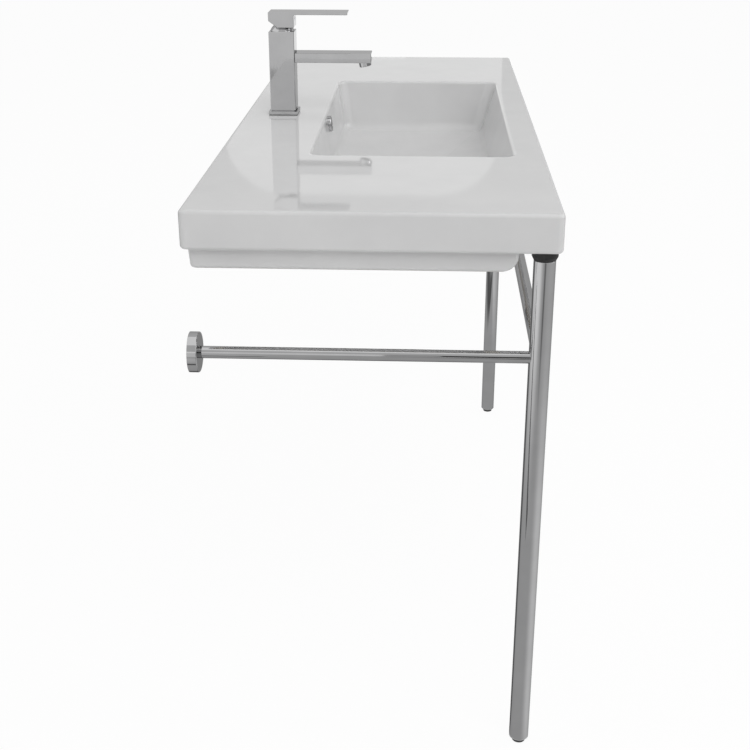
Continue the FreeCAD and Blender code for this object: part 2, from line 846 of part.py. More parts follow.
def leg(side):
    # Tube with one hole for the front rail's insert and one for the side rail's.
    x = side * leg_x
    tube = upright_ring(x, leg_y, leg_bottom_z, leg_top_z, leg_radius, hole_in_leg)
    toward = sorted((x, x - side * (leg_radius + overrun)))
    front_hole = along_x(toward[0], toward[1], leg_y, rail_z, insert_radius + fit_gap)
    side_hole = along_y(x, leg_y, leg_y + leg_radius + overrun, rail_z, insert_radius + fit_gap)
    return tube.cut(front_hole).cut(side_hole)


def leg_top_plug(side):
    x = side * leg_x
    plug = upright(x, leg_y, leg_top_z - leg_plug_length, leg_top_z, hole_in_leg - fit_gap)
    return plug.cut(upright(x, leg_y, leg_top_z - leg_plug_length, leg_top_z, screw_radius + fit_gap))


def leg_pad(side):
    # Rubber pad with a lip, tapering to the leg, moulded on its own stud.
    x = side * leg_x
    lip_z = slab_bottom_z - pad_lip_height
    pad = turned(x, leg_y, [(0, leg_top_z), (leg_radius, leg_top_z), (pad_top_radius, lip_z),
                            (pad_top_radius, slab_bottom_z), (0, slab_bottom_z)])
    return pad.fuse(upright(x, leg_y, leg_top_z - pad_stud_length, leg_top_z + join_overlap, screw_radius))


def leg_end_plug(side):
    # Bevelled end of the leg, pushed into the tube, threaded for the foot.
    x = side * leg_x
    small = leg_radius - end_plug_chamfer
    bevel_z = end_plug_z + end_plug_chamfer
    top = leg_bottom_z + leg_plug_length
    body = turned(x, leg_y, [(0, end_plug_z), (small, end_plug_z), (leg_radius, bevel_z),
                             (leg_radius, leg_bottom_z), (0, leg_bottom_z)])
    body = body.fuse(upright(x, leg_y, leg_bottom_z, top, hole_in_leg - fit_gap))
    return body.cut(upright(x, leg_y, end_plug_z, top, screw_radius + running_gap))


def leg_foot(side):
    # Glide on a screw that takes up an uneven floor.
    x = side * leg_x
    glide = upright(x, leg_y, floor_z, end_plug_z, foot_radius)
    glide = rounded(glide, foot_edge, lambda box: near(box.ZMax, floor_z))
    stud_top = end_plug_z + foot_stud_length
    return glide.fuse(upright(x, leg_y, end_plug_z - join_overlap, stud_top, screw_radius))


def front_rail():
    # Tube between the legs, its ends coped to sit on the round legs.
    rail = along_x(-leg_x, leg_x, leg_y, rail_z, front_rail_radius)
    rail = rail.cut(along_x(-leg_x, leg_x, leg_y, rail_z, front_rail_radius - rail_wall))
    for name, side in sides():
        rail = rail.cut(leg_core(side))
    return rail


def leg_core(side):
    reach = front_rail_radius + side_rail_radius
    return upright(side * leg_x, leg_y, rail_z - reach, rail_z + reach, leg_radius)


def side_rail(side):
    x = side * leg_x
    rail = along_y(x, leg_y, -plate_thickness, rail_z, side_rail_radius)
    rail = rail.cut(along_y(x, leg_y, -plate_thickness, rail_z, side_rail_radius - rail_wall))
    return rail.cut(leg_core(side))


def rail_ends():
    # Where each rail meets a leg: a point on the leg's wall and the way the rail leaves it.
    for name, side in sides():
        yield side * leg_x, vector(-side, 0, 0), front_rail_radius
    for name, side in sides():
        yield side * leg_x, vector(0, 1, 0), side_rail_radius


def rail_rod(x, direction, start, length, radius):
    base = vector(x, leg_y, rail_z) + direction * (leg_radius + start)
    return Part.makeCylinder(radius, length, base, direction)


def rail_plugs():
    plugs = []
    for x, direction, radius in rail_ends():
        plug = rail_rod(x, direction, rail_plug_recess, rail_plug_length, radius - rail_wall - fit_gap)
        bore = rail_rod(x, direction, rail_plug_recess, rail_plug_length, rail_stud_radius + fit_gap)
        plugs.append(plug.cut(bore))
    return Part.makeCompound(plugs)


def rail_studs():
    length = insert_length + rail_plug_recess + rail_stud_grip - leg_wall
    return Part.makeCompound([rail_rod(x, direction, -insert_length + leg_wall, length, rail_stud_radius)
                              for x, direction, radius in rail_ends()])


def leg_inserts():
    # Rivet nuts set flush in the legs.
    nuts = []
    for x, direction, radius in rail_ends():
        nut = rail_rod(x, direction, -insert_length, insert_length, insert_radius)
        nut = nut.cut(rail_rod(x, direction, -insert_length, insert_length, rail_stud_radius + fit_gap))
        nuts.append(nut.common(leg_core(1 if x > 0 else -1)))
    return Part.makeCompound(nuts)


# Wall flanges

def wall_plate(side):
    x = side * leg_x
    plate = along_y(x, -plate_thickness, 0, rail_z, rosette_radius - rosette_wall - fit_gap)
    plate = plate.fuse(along_y(x, -plate_thickness - spigot_length, -plate_thickness, rail_z,
                               side_rail_radius - rail_wall - fit_gap))
    for index in range(plate_hole_count):
        angle = 2 * math.pi * index / plate_hole_count + math.pi / 2
        hole_x = x + plate_hole_circle / 2 * math.cos(angle)
        hole_z = rail_z + plate_hole_circle / 2 * math.sin(angle)
        plate = plate.cut(along_y(hole_x, -plate_thickness, 0, hole_z, plate_hole_radius))
    return plate


def rosette(side):
    x = side * leg_x
    cup = along_y(x, -rosette_height, 0, rail_z, rosette_radius)
    cup = rounded(cup, rosette_edge_radius, lambda box: near(box.YMax, -rosette_height))
    cup = cup.cut(along_y(x, -rosette_height + rosette_wall, 0, rail_z, rosette_radius - rosette_wall))
    cup = cup.cut(along_y(x, -rosette_height, 0, rail_z, side_rail_radius + fit_gap))
    grub_hole = rosette_grub_radius + fit_gap
    return cup.cut(upright(x, -plate_thickness / 2, rail_z - rosette_radius, rail_z, grub_hole))


def rosette_grub_screws():
    screws = []
    for name, side in sides():
        x = side * leg_x
        reach = rosette_radius - rosette_wall - fit_gap
        bottom = rail_z - rosette_radius
        screw = upright(x, -plate_thickness / 2, bottom, rail_z - reach, rosette_grub_radius)
        screws.append(screw.common(along_y(x, -plate_thickness, 0, rail_z, rosette_radius)))
    return Part.makeCompound(screws)


def main():
    os.makedirs("parts", exist_ok=True)
    single = [basin, overflow_ring, waste_body, waste_upper_seal, waste_lower_seal, waste_nut, tailpiece,
              coupling_nut, click_holder, plug_cap, plug_seal, plug_stem, tap_base_seal, tap_base_plate,
              tap_column, spout, aerator_housing, aerator_insert, cartridge_body, cartridge_seals,
              cartridge_nut, cartridge_rotor, spindle_pin, lever_spindle, tap_dome, lever_handle,
              lever_grub_screw, index_plug, clamp_gasket, clamp_plate, clamp_nut, clamp_stud, front_rail,
              rail_plugs, rail_studs, leg_inserts, rosette_grub_screws]
    paired = [leg, leg_top_plug, leg_pad, leg_end_plug, leg_foot, side_rail, wall_plate, rosette]
    for make in single:
        export(make.__name__, make())
    for make in paired:
        for name, side in sides():
            export(make.__name__ + "_" + name, make(side))


main()
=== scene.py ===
import json
import math

import bmesh
import bpy
import numpy as np
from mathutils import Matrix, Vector


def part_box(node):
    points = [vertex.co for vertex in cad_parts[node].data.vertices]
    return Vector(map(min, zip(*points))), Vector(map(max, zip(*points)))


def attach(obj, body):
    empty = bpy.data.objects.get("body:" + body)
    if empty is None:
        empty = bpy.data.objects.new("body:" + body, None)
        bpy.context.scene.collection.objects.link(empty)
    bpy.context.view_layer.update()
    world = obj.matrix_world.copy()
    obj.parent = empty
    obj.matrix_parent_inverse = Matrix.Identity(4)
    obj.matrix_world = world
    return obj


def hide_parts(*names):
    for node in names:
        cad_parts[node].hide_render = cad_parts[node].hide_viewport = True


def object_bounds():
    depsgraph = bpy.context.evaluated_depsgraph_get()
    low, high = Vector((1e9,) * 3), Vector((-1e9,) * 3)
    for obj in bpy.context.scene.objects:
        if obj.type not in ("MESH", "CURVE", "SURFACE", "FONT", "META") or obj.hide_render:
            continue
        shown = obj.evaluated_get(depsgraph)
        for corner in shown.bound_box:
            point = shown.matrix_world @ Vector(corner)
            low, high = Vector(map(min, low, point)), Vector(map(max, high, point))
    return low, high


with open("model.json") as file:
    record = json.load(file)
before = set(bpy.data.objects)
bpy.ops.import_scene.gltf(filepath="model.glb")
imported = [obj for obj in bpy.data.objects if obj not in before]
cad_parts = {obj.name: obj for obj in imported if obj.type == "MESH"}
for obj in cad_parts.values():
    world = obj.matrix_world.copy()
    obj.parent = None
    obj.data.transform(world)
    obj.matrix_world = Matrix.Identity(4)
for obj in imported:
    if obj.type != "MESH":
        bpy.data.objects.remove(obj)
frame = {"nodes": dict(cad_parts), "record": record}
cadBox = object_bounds()
scene = bpy.context.scene


# Finishes

def startFinish(name, values):
    # Whatever is the same all over goes straight on the shader's own sockets.
    finish = bpy.data.materials.new(name)
    finish.use_nodes = True
    tree = finish.node_tree
    shader = tree.nodes["Principled BSDF"]
    for socket, value in values.items():
        shader.inputs[socket].default_value = value
    return finish, tree, shader


def feed(tree, value, socket):
    # Another node's output is linked to the socket; a number or a colour is set on it.
    if isinstance(value, bpy.types.NodeSocket):
        tree.links.new(value, socket)
    else:
        socket.default_value = value


def grain(tree, scale, stretch=(1, 1, 1), detail=3):
    # Noise on the object's own coordinates; stretch draws it out along an axis.
    coords = tree.nodes.new("ShaderNodeTexCoord")
    mapping = tree.nodes.new("ShaderNodeMapping")
    mapping.inputs["Scale"].default_value = stretch
    noise = tree.nodes.new("ShaderNodeTexNoise")
    noise.inputs["Scale"].default_value = scale
    noise.inputs["Detail"].default_value = detail
    tree.links.new(coords.outputs["Object"], mapping.inputs["Vector"])
    tree.links.new(mapping.outputs["Vector"], noise.inputs["Vector"])
    return noise.outputs["Fac"]


def partOf(tree, output, axis):
    # One coordinate of a point's own place or of its normal.
    coords = tree.nodes.new("ShaderNodeTexCoord")
    split = tree.nodes.new("ShaderNodeSeparateXYZ")
    tree.links.new(coords.outputs[output], split.inputs["Vector"])
    return split.outputs[axis]


def between(tree, value, low, high, start=0.3, end=0.7):
    # Stretches the noise's usual span to run from low to high.
    node = tree.nodes.new("ShaderNodeMapRange")
    limits = {"From Min": start, "From Max": end, "To Min": low, "To Max": high}
    for socket, limit in limits.items():
        node.inputs[socket].default_value = limit
    tree.links.new(value, node.inputs["Value"])
    return node.outputs["Result"]


def reckon(tree, operation, *values):
    # A Math node on numbers and on other nodes' outputs.
    node = tree.nodes.new("ShaderNodeMath")
    node.operation = operation
    for socket, value in zip(node.inputs, values):
        feed(tree, value, socket)
    return node.outputs["Value"]


def blendColours(tree, share, first, second):
    node = tree.nodes.new("ShaderNodeMix")
    node.data_type = "RGBA"
    for socket, colour in (("A", first), ("B", second)):
        target = [s for s in node.inputs if s.name == socket and s.type == "RGBA"][0]
        feed(tree, (*colour, 1) if isinstance(colour, tuple) else colour, target)
    tree.links.new(share, node.inputs["Factor"])
    return [s for s in node.outputs if s.type == "RGBA"][0]


def mottle(tree, shader, cloud, tones, gloss, roughness):
    # The colour drifts between two tones with one noise, the gloss between two values with another.
    tree.links.new(blendColours(tree, between(tree, cloud, 0, 1), *tones), shader.inputs["Base Color"])
    tree.links.new(between(tree, gloss, *roughness), shader.inputs["Roughness"])


def relief(tree, shader, height, depth, strength):
    node = tree.nodes.new("ShaderNodeBump")
    node.inputs["Strength"].default_value = strength
    node.inputs["Distance"].default_value = depth
    tree.links.new(height, node.inputs["Height"])
    tree.links.new(node.outputs["Normal"], shader.inputs["Normal"])


# In a look, each scale is a noise's, and relief holds the depth and the strength of the bump.
glazeLook = {"sockets": {"IOR": 1.5, "Coat Weight": 0.25, "Coat Roughness": 0.03},
             "tones": ((0.70, 0.70, 0.702), (0.735, 0.735, 0.735)), "biscuit": (0.60, 0.575, 0.53),
             "biscuitBelow": (-0.0435, -0.0415), "biscuitFacing": (-0.9, -0.6), "biscuitDull": 0.6,
             "waveScale": 16, "glossScale": 48, "peelScale": 420, "roughness": (0.02, 0.045),
             "relief": (0.00004, 0.25)}


def glazedCeramic():
    # White glaze with a faint orange peel; the lowest faces are left as bare biscuit.
    look = glazeLook
    finish, tree, shader = startFinish("glazedCeramic", look["sockets"])
    glaze = blendColours(tree, between(tree, grain(tree, look["waveScale"]), 0, 1), *look["tones"])
    low = between(tree, partOf(tree, "Object", "Z"), 1, 0, *look["biscuitBelow"])
    down = between(tree, partOf(tree, "Normal", "Z"), 1, 0, *look["biscuitFacing"])
    bare = reckon(tree, "MULTIPLY", low, down)
    tree.links.new(blendColours(tree, bare, glaze, look["biscuit"]), shader.inputs["Base Color"])
    gloss = between(tree, grain(tree, look["glossScale"]), *look["roughness"])
    tree.links.new(reckon(tree, "MULTIPLY_ADD", bare, look["biscuitDull"], gloss), shader.inputs["Roughness"])
    relief(tree, shader, grain(tree, look["peelScale"], detail=1), *look["relief"])
    return finish


chromeLook = {"edge": (0.62, 0.62, 0.62, 1), "tones": ((0.53, 0.53, 0.535), (0.57, 0.57, 0.575)),
              "wipeScale": 30, "lineScale": 240, "roughness": (0.02, 0.06), "relief": (0.000004, 0.15)}


def chromePlate(name, drawn):
    # Polished plating: soft wiping marks in the colour, fine lines drawn along one axis in the gloss.
    look = chromeLook
    finish, tree, shader = startFinish(name, {"Metallic": 1.0, "Specular Tint": look["edge"]})
    wipes = grain(tree, look["wipeScale"], detail=4)
    lines = grain(tree, look["lineScale"], drawn, detail=2)
    mottle(tree, shader, wipes, look["tones"], lines, look["roughness"])
    relief(tree, shader, lines, *look["relief"])
    return finish


brassLook = {"tones": ((0.62, 0.44, 0.19), (0.76, 0.57, 0.28)), "cloudScale": 60, "ringScale": 300,
             "ringStretch": (0.15, 0.15, 4), "roughness": (0.18, 0.34), "relief": (0.00002, 0.4)}


def turnedBrass():
    # Brass off a lathe: the turning marks are noise pressed flat into level rings.
    look = brassLook
    finish, tree, shader = startFinish("turnedBrass", {"Metallic": 1.0})
    rings = grain(tree, look["ringScale"], look["ringStretch"], detail=2)
    mottle(tree, shader, grain(tree, look["cloudScale"]), look["tones"], rings, look["roughness"])
    relief(tree, shader, rings, *look["relief"])
    return finish


zincLook = {"sockets": {"Metallic": 1.0}, "tones": ((0.46, 0.46, 0.46), (0.60, 0.59, 0.56)),
            "cloudScale": 90, "cloudDetail": 5, "grainScale": 800, "roughness": (0.26, 0.42),
            "relief": (0.00002, 0.3)}
rubberLook = {"sockets": {"IOR": 1.45}, "tones": ((0.016, 0.016, 0.017), (0.05, 0.05, 0.05)),
              "cloudScale": 120, "cloudDetail": 5, "grainScale": 1400, "roughness": (0.45, 0.7),
              "relief": (0.00004, 0.5)}
padLook = {**rubberLook, "tones": ((0.016, 0.016, 0.017), (0.032, 0.032, 0.032))}
plasticLook = {"sockets": {"IOR": 1.48}, "tones": ((0.66, 0.66, 0.63), (0.74, 0.74, 0.72)),
               "cloudScale": 70, "cloudDetail": 3, "grainScale": 900, "roughness": (0.38, 0.52),
               "relief": (0.00003, 0.3)}


def grainyFinish(name, look):
    # One noise sways colour and gloss together, over the fine grain of a plated or moulded skin.
    finish, tree, shader = startFinish(name, look["sockets"])
    cloud = grain(tree, look["cloudScale"], detail=look["cloudDetail"])
    mottle(tree, shader, cloud, look["tones"], cloud, look["roughness"])
    relief(tree, shader, grain(tree, look["grainScale"]), *look["relief"])
    return finish


buttonLook = {"hot": (0.50, 0.02, 0.03), "cold": (0.02, 0.09, 0.46), "seam": (-0.0001, 0.0001),
              "grainScale": 500, "roughness": (0.16, 0.28)}


def hotColdButton():
    # Red on the hot half, blue on the cold half, split down the middle plane.
    look = buttonLook
    finish, tree, shader = startFinish("hotColdButton", {"IOR": 1.5})
    half = between(tree, partOf(tree, "Object", "X"), 0, 1, *look["seam"])
    gloss = between(tree, grain(tree, look["grainScale"]), *look["roughness"])
    tree.links.new(blendColours(tree, half, look["hot"], look["cold"]), shader.inputs["Base Color"])
    tree.links.new(gloss, shader.inputs["Roughness"])
    return finish


finishes = {"ceramic": glazedCeramic(), "chrome": chromePlate("wasteChrome", (1, 1, 0.2)),
            "tap_chrome": chromePlate("tapChrome", (1, 1, 0.15)),
            "stand_chrome": chromePlate("standChrome", (1, 1, 0.05)),
            "brass": turnedBrass(), "steel": grainyFinish("zincSteel", zincLook),
            "rubber": grainyFinish("sealRubber", rubberLook),
            "pad_rubber": grainyFinish("padRubber", padLook),
            "inner_plastic": grainyFinish("naturalPlastic", plasticLook), "index_plastic": hotColdButton()}
drawnAlong = {"x": chromePlate("railChromeAcross", (0.05, 1, 1)),
              "y": chromePlate("chromeFrontToBack", (1, 0.05, 1))}
slotOfNode = {part["node"]: part["material_slot"] for part in frame["record"]["subparts"]}
for nodeName, nodeObject in frame["nodes"].items():
    for holder in nodeObject.material_slots:
        holder.material = finishes[slotOfNode[nodeName]]
print("finishes:", ", ".join(sorted(finishes)))


# Shapes

creaseAngle = math.radians(32)
mergeDistance = 1e-6
flatWeight = 80


def boxOf(node):
    low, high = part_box(node)
    return np.array(low), np.array(high)


def heightsOf(node):
    low, high = boxOf(node)
    return low[2], high[2]


def halfWidth(node):
    low, high = boxOf(node)
    return (high[0] - low[0]) / 2


def middleOf(node):
    low, high = boxOf(node)
    return (low + high) / 2


def standsAt(node):
    # Where a node stands in plan, at height zero.
    return middleOf(node) * (1, 1, 0)


def pick(shape, *names):
    return [shape[name] for name in names]


def quarterTurn(steps):
    return np.linspace(0, math.pi / 2, steps + 1)


def gridFaces(rows, cols, wrapRows):
    # Each point of the grid joins its neighbour in the next column, the next row and across.
    i = np.arange(rows if wrapRows else rows - 1)[:, None]
    j = np.arange(cols)[None, :]
    here, ahead = i * cols, (i + 1) % rows * cols
    nextCol = (j + 1) % cols
    quads = np.stack([here + j, here + nextCol, ahead + nextCol, ahead + j], axis=-1)
    return quads.reshape(-1, 4).tolist()


def addObject(name, data):
    holder = bpy.data.objects.new(name, data)
    scene.collection.objects.link(holder)
    return holder


def makePiece(name, slotName, points, wrapRows=False, flat=False):
    # Rows of points become one closed skin: rows joined by quads, open ends capped,
    # equal points merged, and the whole turned so that its volume is positive.
    rows, cols = points.shape[:2]
    faces = gridFaces(rows, cols, wrapRows)
    if not wrapRows:
        faces += [list(range(cols)), list(range((rows - 1) * cols, rows * cols))]
    mesh = bpy.data.meshes.new(name)
    mesh.from_pydata(points.reshape(-1, 3).tolist(), [], faces)
    shape = bmesh.new()
    shape.from_mesh(mesh)
    bmesh.ops.remove_doubles(shape, verts=shape.verts, dist=mergeDistance)
    bmesh.ops.recalc_face_normals(shape, faces=shape.faces)
    if shape.calc_volume(signed=True) < 0:
        bmesh.ops.reverse_faces(shape, faces=shape.faces)
    shape.to_mesh(mesh)
    shape.free()
    piece = addObject(name, mesh)
    mesh.materials.append(finishes[slotName])
    smoothPiece(piece, flat)
    return piece


def smoothPiece(piece, flat):
    # Soft shading with real edges kept; flat faces keep their own normal beside a small radius.
    mesh = piece.data
    mesh.polygons.foreach_set("use_smooth", np.ones(len(mesh.polygons), dtype=bool))
    mesh.set_sharp_from_angle(angle=creaseAngle)
    if flat:
        weigh = piece.modifiers.new("flatFaces", "WEIGHTED_NORMAL")
        weigh.mode = "FACE_AREA"
        weigh.weight = flatWeight
        weigh.keep_sharp = True


def seatPiece(piece, body, slotName, *nodes):
    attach(piece, body)
    if nodes:
        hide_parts(*nodes)


def addPiece(name, slotName, node, points, body="sink", wrapRows=True, flat=False):
    seatPiece(makePiece(name, slotName, points, wrapRows, flat), body, slotName, node)


def applyModifiers(piece):
    solved = piece.evaluated_get(bpy.context.evaluated_depsgraph_get())
    mesh = bpy.data.meshes.new_from_object(solved)
    piece.modifiers.clear()
    piece.data = mesh


def combine(piece, other, operation="DIFFERENCE"):
    # Cuts or joins two closed skins, then drops the second.
    step = piece.modifiers.new("combine", "BOOLEAN")
    step.operation = operation
    step.solver = "EXACT"
    step.object = other
    applyModifiers(piece)
    bpy.data.objects.remove(other)


def roundedLine(corners, closed=False, steps=6):
    # A line through (u, v, radius) corners, each bent as an arc that touches both its runs.
    corners = np.asarray(corners, dtype=float)
    line = []
    for index, (u, v, radius) in enumerate(corners):
        here = np.array((u, v))
        if radius == 0 or (not closed and index in (0, len(corners) - 1)):
            line.append(here[None])
            continue
        back = corners[index - 1, :2] - here
        ahead = corners[(index + 1) % len(corners), :2] - here
        back, ahead = back / np.linalg.norm(back), ahead / np.linalg.norm(ahead)
        half = math.acos(np.clip(back @ ahead, -1, 1)) / 2
        middle = here + (back + ahead) / np.linalg.norm(back + ahead) * radius / math.sin(half)
        start = here + back * radius / math.tan(half) - middle
        end = here + ahead * radius / math.tan(half) - middle
        first = math.atan2(start[1], start[0])
        sweep = (math.atan2(end[1], end[0]) - first + math.pi) % (2 * math.pi) - math.pi
        turn = first + sweep * np.linspace(0, 1, steps + 1)
        line.append(middle + radius * np.stack([np.cos(turn), np.sin(turn)], axis=-1))
    return np.concatenate(line)


def plugLine(radius, low, high):
    return np.array([(0, low), (radius, low), (radius, high), (0, high)])


def ballLine(radius, middle, start, end, count):
    # Part of a circle about a point on the axis: r cos t out from it, r sin t above it.
    turn = np.linspace(start, end, count)
    return np.stack([radius * np.cos(turn), middle + radius * np.sin(turn)], axis=-1)


def lathe(line, centre, axis="z", turns=72, reshape=None):
    # (radius, height) points swung about an axis: across = r cos t and r sin t, along = height.
    angle = np.linspace(0, 2 * math.pi, turns, endpoint=False)[None, :]
    radius, height = line[:, :1] + 0 * angle, line[:, 1:] + 0 * angle
    if reshape is not None:
        radius = reshape(radius, height, angle)
    across, sideways = radius * np.cos(angle), radius * np.sin(angle)
    order = (across, sideways, height) if axis == "z" else (across, height, sideways)
    return np.stack(order, axis=-1) + np.asarray(centre)


def hexagonal(flats, boreRadius):
    # Radius held inside a six-sided outline: half the flats over cos of the angle from a flat's middle.
    def reshape(radius, height, angle):
        away = (angle + math.pi / 6) % (math.pi / 3) - math.pi / 6
        return np.where(radius > boreRadius, np.minimum(radius, flats / 2 / np.cos(away)), radius)
    return reshape


def threaded(low, high, crest, pitch, depth, near=1e-3):
    # Radius lowered by a ridge that climbs one pitch each turn, between two heights on the crest.
    def reshape(radius, height, angle):
        wave = np.abs(2 * ((height / pitch - angle / (2 * math.pi)) % 1) - 1)
        cut = (height > low) & (height < high) & (np.abs(radius - crest) < crest * near)
        return np.where(cut, radius - depth * wave, radius)
    return reshape


def threadRows(radius, low, high, pitch, perPitch=8):
    # Enough levels along a thread to draw its ridge.
    heights = np.linspace(low, high, int((high - low) / pitch * perPitch) + 1)
    return np.stack([np.full_like(heights, radius), heights], axis=-1)


def levelRings(x0, x1, y0, y1, radius, z, cornerSteps=10):
    # Rounded rectangles: four quarter arcs, the same count of points at every level.
    columns = [np.atleast_1d(np.asarray(value, dtype=float)) for value in (x0, x1, y0, y1, radius, z)]
    x0, x1, y0, y1, radius, z = [column[:, None] for column in np.broadcast_arrays(*columns)]
    quarter = quarterTurn(cornerSteps)[None, :]
    right, left, back, front = x1 - radius, x0 + radius, y1 - radius, y0 + radius
    arcs = []
    for corner, (cx, cy) in enumerate(((right, back), (left, back), (left, front), (right, front))):
        turn = quarter + corner * math.pi / 2
        x, y = cx + radius * np.cos(turn), cy + radius * np.sin(turn)
        arcs.append(np.stack([x, y, z + 0 * turn], axis=-1))
    return np.concatenate(arcs, axis=1)


def insetRings(low, high, inset, radius, z, cornerSteps=10):
    # Rounded rectangles drawn in from a box's sides by an inset.
    x0, x1, y0, y1 = low[0] + inset, high[0] - inset, low[1] + inset, high[1] - inset
    return levelRings(x0, x1, y0, y1, radius, z, cornerSteps)


def roundRings(y, radius, z):
    # Circles about an upright line in the middle plane, with the points of a rounded rectangle.
    return levelRings(-radius, radius, y - radius, y + radius, radius, z)


def softBar(low, high, radius, steps=5, tipShare=0.02):
    # A bar along Y with every edge rounded: upright rounded rectangles that draw in along a quarter
    # arc at both ends.
    order = [0, 2, 1]
    low, high = low[order], high[order]
    turn = quarterTurn(steps)
    inset, climb = radius * (1 - np.sin(turn)), radius * (1 - np.cos(turn))
    inset = np.concatenate([inset, inset[::-1]])
    level = np.concatenate([low[2] + climb, (high[2] - climb)[::-1]])
    corner = np.maximum(radius - inset, radius * tipShare)
    return insetRings(low, high, inset, corner, level, steps)[..., order]


def prism(outline, x0, x1):
    # A (y, z) outline carried straight along X.
    rows = [np.concatenate([np.full((len(outline), 1), x), outline], axis=1) for x in (x0, x1)]
    return np.stack(rows)


def leanBack(points, pivot, angle):
    # Turns points about an X line through the pivot.
    y, z = points[..., 1] - pivot[1], points[..., 2] - pivot[2]
    back = pivot[1] + y * math.cos(angle) - z * math.sin(angle)
    up = pivot[2] + y * math.sin(angle) + z * math.cos(angle)
    return np.stack([points[..., 0], back, up], axis=-1)


# Basin

basinShape = {"slabHeight": 0.050, "cornerRadius": 0.009, "cornerLeast": 0.001, "edgeRadius": 0.005,
              "bowlLength": 0.611, "frontRim": 0.044, "backLedge": 0.134, "bowlDepth": 0.087,
              "endDraft": 0.014, "frontDraft": 0.026, "backDraft": 0.012, "floorRadius": 0.016,
              "bowlCorner": 0.018, "bowlCornerLeast": 0.002, "rimRadius": 0.005, "floorFall": 0.011,
              "wall": 0.013, "floorThickness": 0.012, "bulgeEdge": 0.014, "drainRadius": 0.0225,
              "seatRadius": 0.033, "seatDepth": 0.003, "seatEdge": 0.0006, "plateau": 0.037,
              "plateauCorner": 0.0185, "bossRadius": 0.0425, "bossEdge": 0.003,
              "plinthHeight": 0.028, "plinthLap": 0.002, "plinthEnd": 0.014, "plinthBack": 0.0075,
              "plinthFront": 0.0525, "plinthLean": 0.0025, "plinthCorner": 0.005, "noseRadius": 0.022,
              "coreOverrun": 0.008, "coreCorner": 0.024, "edgeSupport": 0.002}
ribShape = {"half": 0.026, "bend": 0.018, "wallShare": 0.45, "topLap": 0.004, "footLift": 0.0003,
            "floorLap": 0.006, "fromDrain": 0.03, "floorRun": 0.12}
cutShape = {"bayWall": 0.015, "bayRoof": 0.016, "bayFront": 0.0835, "bayBack": 0.025, "bayCorner": 0.014,
            "tapRadius": 0.0175, "ledge": 0.018, "pocketWidth": 0.092, "pocketBack": 0.024,
            "pocketFront": 0.103483, "pocketCorner": 0.002, "fixingSpacing": 0.280, "fixingRadius": 0.007,
            "fixingWall": 0.018, "fixingWidth": 0.056, "fixingDepth": 0.050, "fixingRoof": 0.014,
            "overflowDrop": 0.018, "overflowRadius": 0.010, "overflowDepth": 0.020, "overflowLead": 0.005,
            "overrun": 0.006}
basinLow, basinHigh = boxOf("basin")
rimZ = basinHigh[2]
slabBottom = rimZ - basinShape["slabHeight"]
plinthBottom = slabBottom - basinShape["plinthHeight"]
bowlFloor = rimZ - basinShape["bowlDepth"]
plateauZ = bowlFloor - basinShape["floorFall"]
bulgeBottom = plateauZ - basinShape["floorThickness"]
drain = np.array([0, middleOf("waste_body")[1], 0])
tapPlace = standsAt("tap_column")
overflowLean = math.atan(basinShape["backDraft"] / basinShape["bowlDepth"])
overflowY = -basinShape["backLedge"] - cutShape["overflowDrop"] * math.tan(overflowLean)
overflowPlace = np.array([0, overflowY, rimZ - cutShape["overflowDrop"]])


def wallInset(depth, draft):
    # How far a bowl wall lies inside its rim line at a depth: the leaning wall, with an arc that
    # leaves the level top and another that runs out on the floor, both tangent to the wall.
    lean = math.atan(draft / basinShape["bowlDepth"])
    height = basinShape["bowlDepth"] - depth
    inset = depth * math.tan(lean)
    rim, floor = pick(basinShape, "rimRadius", "floorRadius")
    reach = math.tan(math.pi / 4 - lean / 2)
    topArc = np.sqrt(np.maximum(rim ** 2 - (rim - depth) ** 2, 0)) - rim * reach
    lowArc = draft + floor * reach - np.sqrt(np.maximum(floor ** 2 - (floor - height) ** 2, 0))
    inset = np.where(depth < rim * (1 - math.sin(lean)), topArc, inset)
    return np.where(height < floor * (1 - math.sin(lean)), lowArc, inset)


def bowlRings():
    # From the floor's edge up the walls and over the rim; the plan's corner radius follows the inset.
    shape = basinShape
    turn = quarterTurn(10)
    low = shape["bowlDepth"] - shape["floorRadius"] * (1 - np.cos(turn))
    middle = np.linspace(low[-1], shape["rimRadius"], 7)[1:-1]
    top = shape["rimRadius"] * (1 - np.sin(turn))
    depth = np.concatenate([low, middle, top])
    drafts = pick(shape, "endDraft", "frontDraft", "backDraft")
    end, front, back = [wallInset(depth, draft) for draft in drafts]
    half = shape["bowlLength"] / 2
    straight = depth * shape["endDraft"] / shape["bowlDepth"]
    corner = np.maximum(shape["bowlCorner"] - (end - straight), shape["bowlCornerLeast"])
    return levelRings(-half + end, half - end, basinLow[1] + shape["frontRim"] + front,
                      -shape["backLedge"] - back, corner, rimZ - depth)


def drainRings():
    # Drain hole, seat for the waste flange, small plateau, then the falls up to the bowl's floor.
    hole, seat, edge, half = pick(basinShape, "drainRadius", "seatRadius", "seatEdge", "plateau")
    shelf = plateauZ - basinShape["seatDepth"]
    radius = np.array([hole, hole, seat, seat, seat + edge])
    z = np.array([basinLow[2], shelf, shelf, plateauZ - edge, plateauZ])
    square = levelRings(-half, half, drain[1] - half, drain[1] + half, basinShape["plateauCorner"], plateauZ)
    return np.concatenate([roundRings(drain[1], radius, z), square])


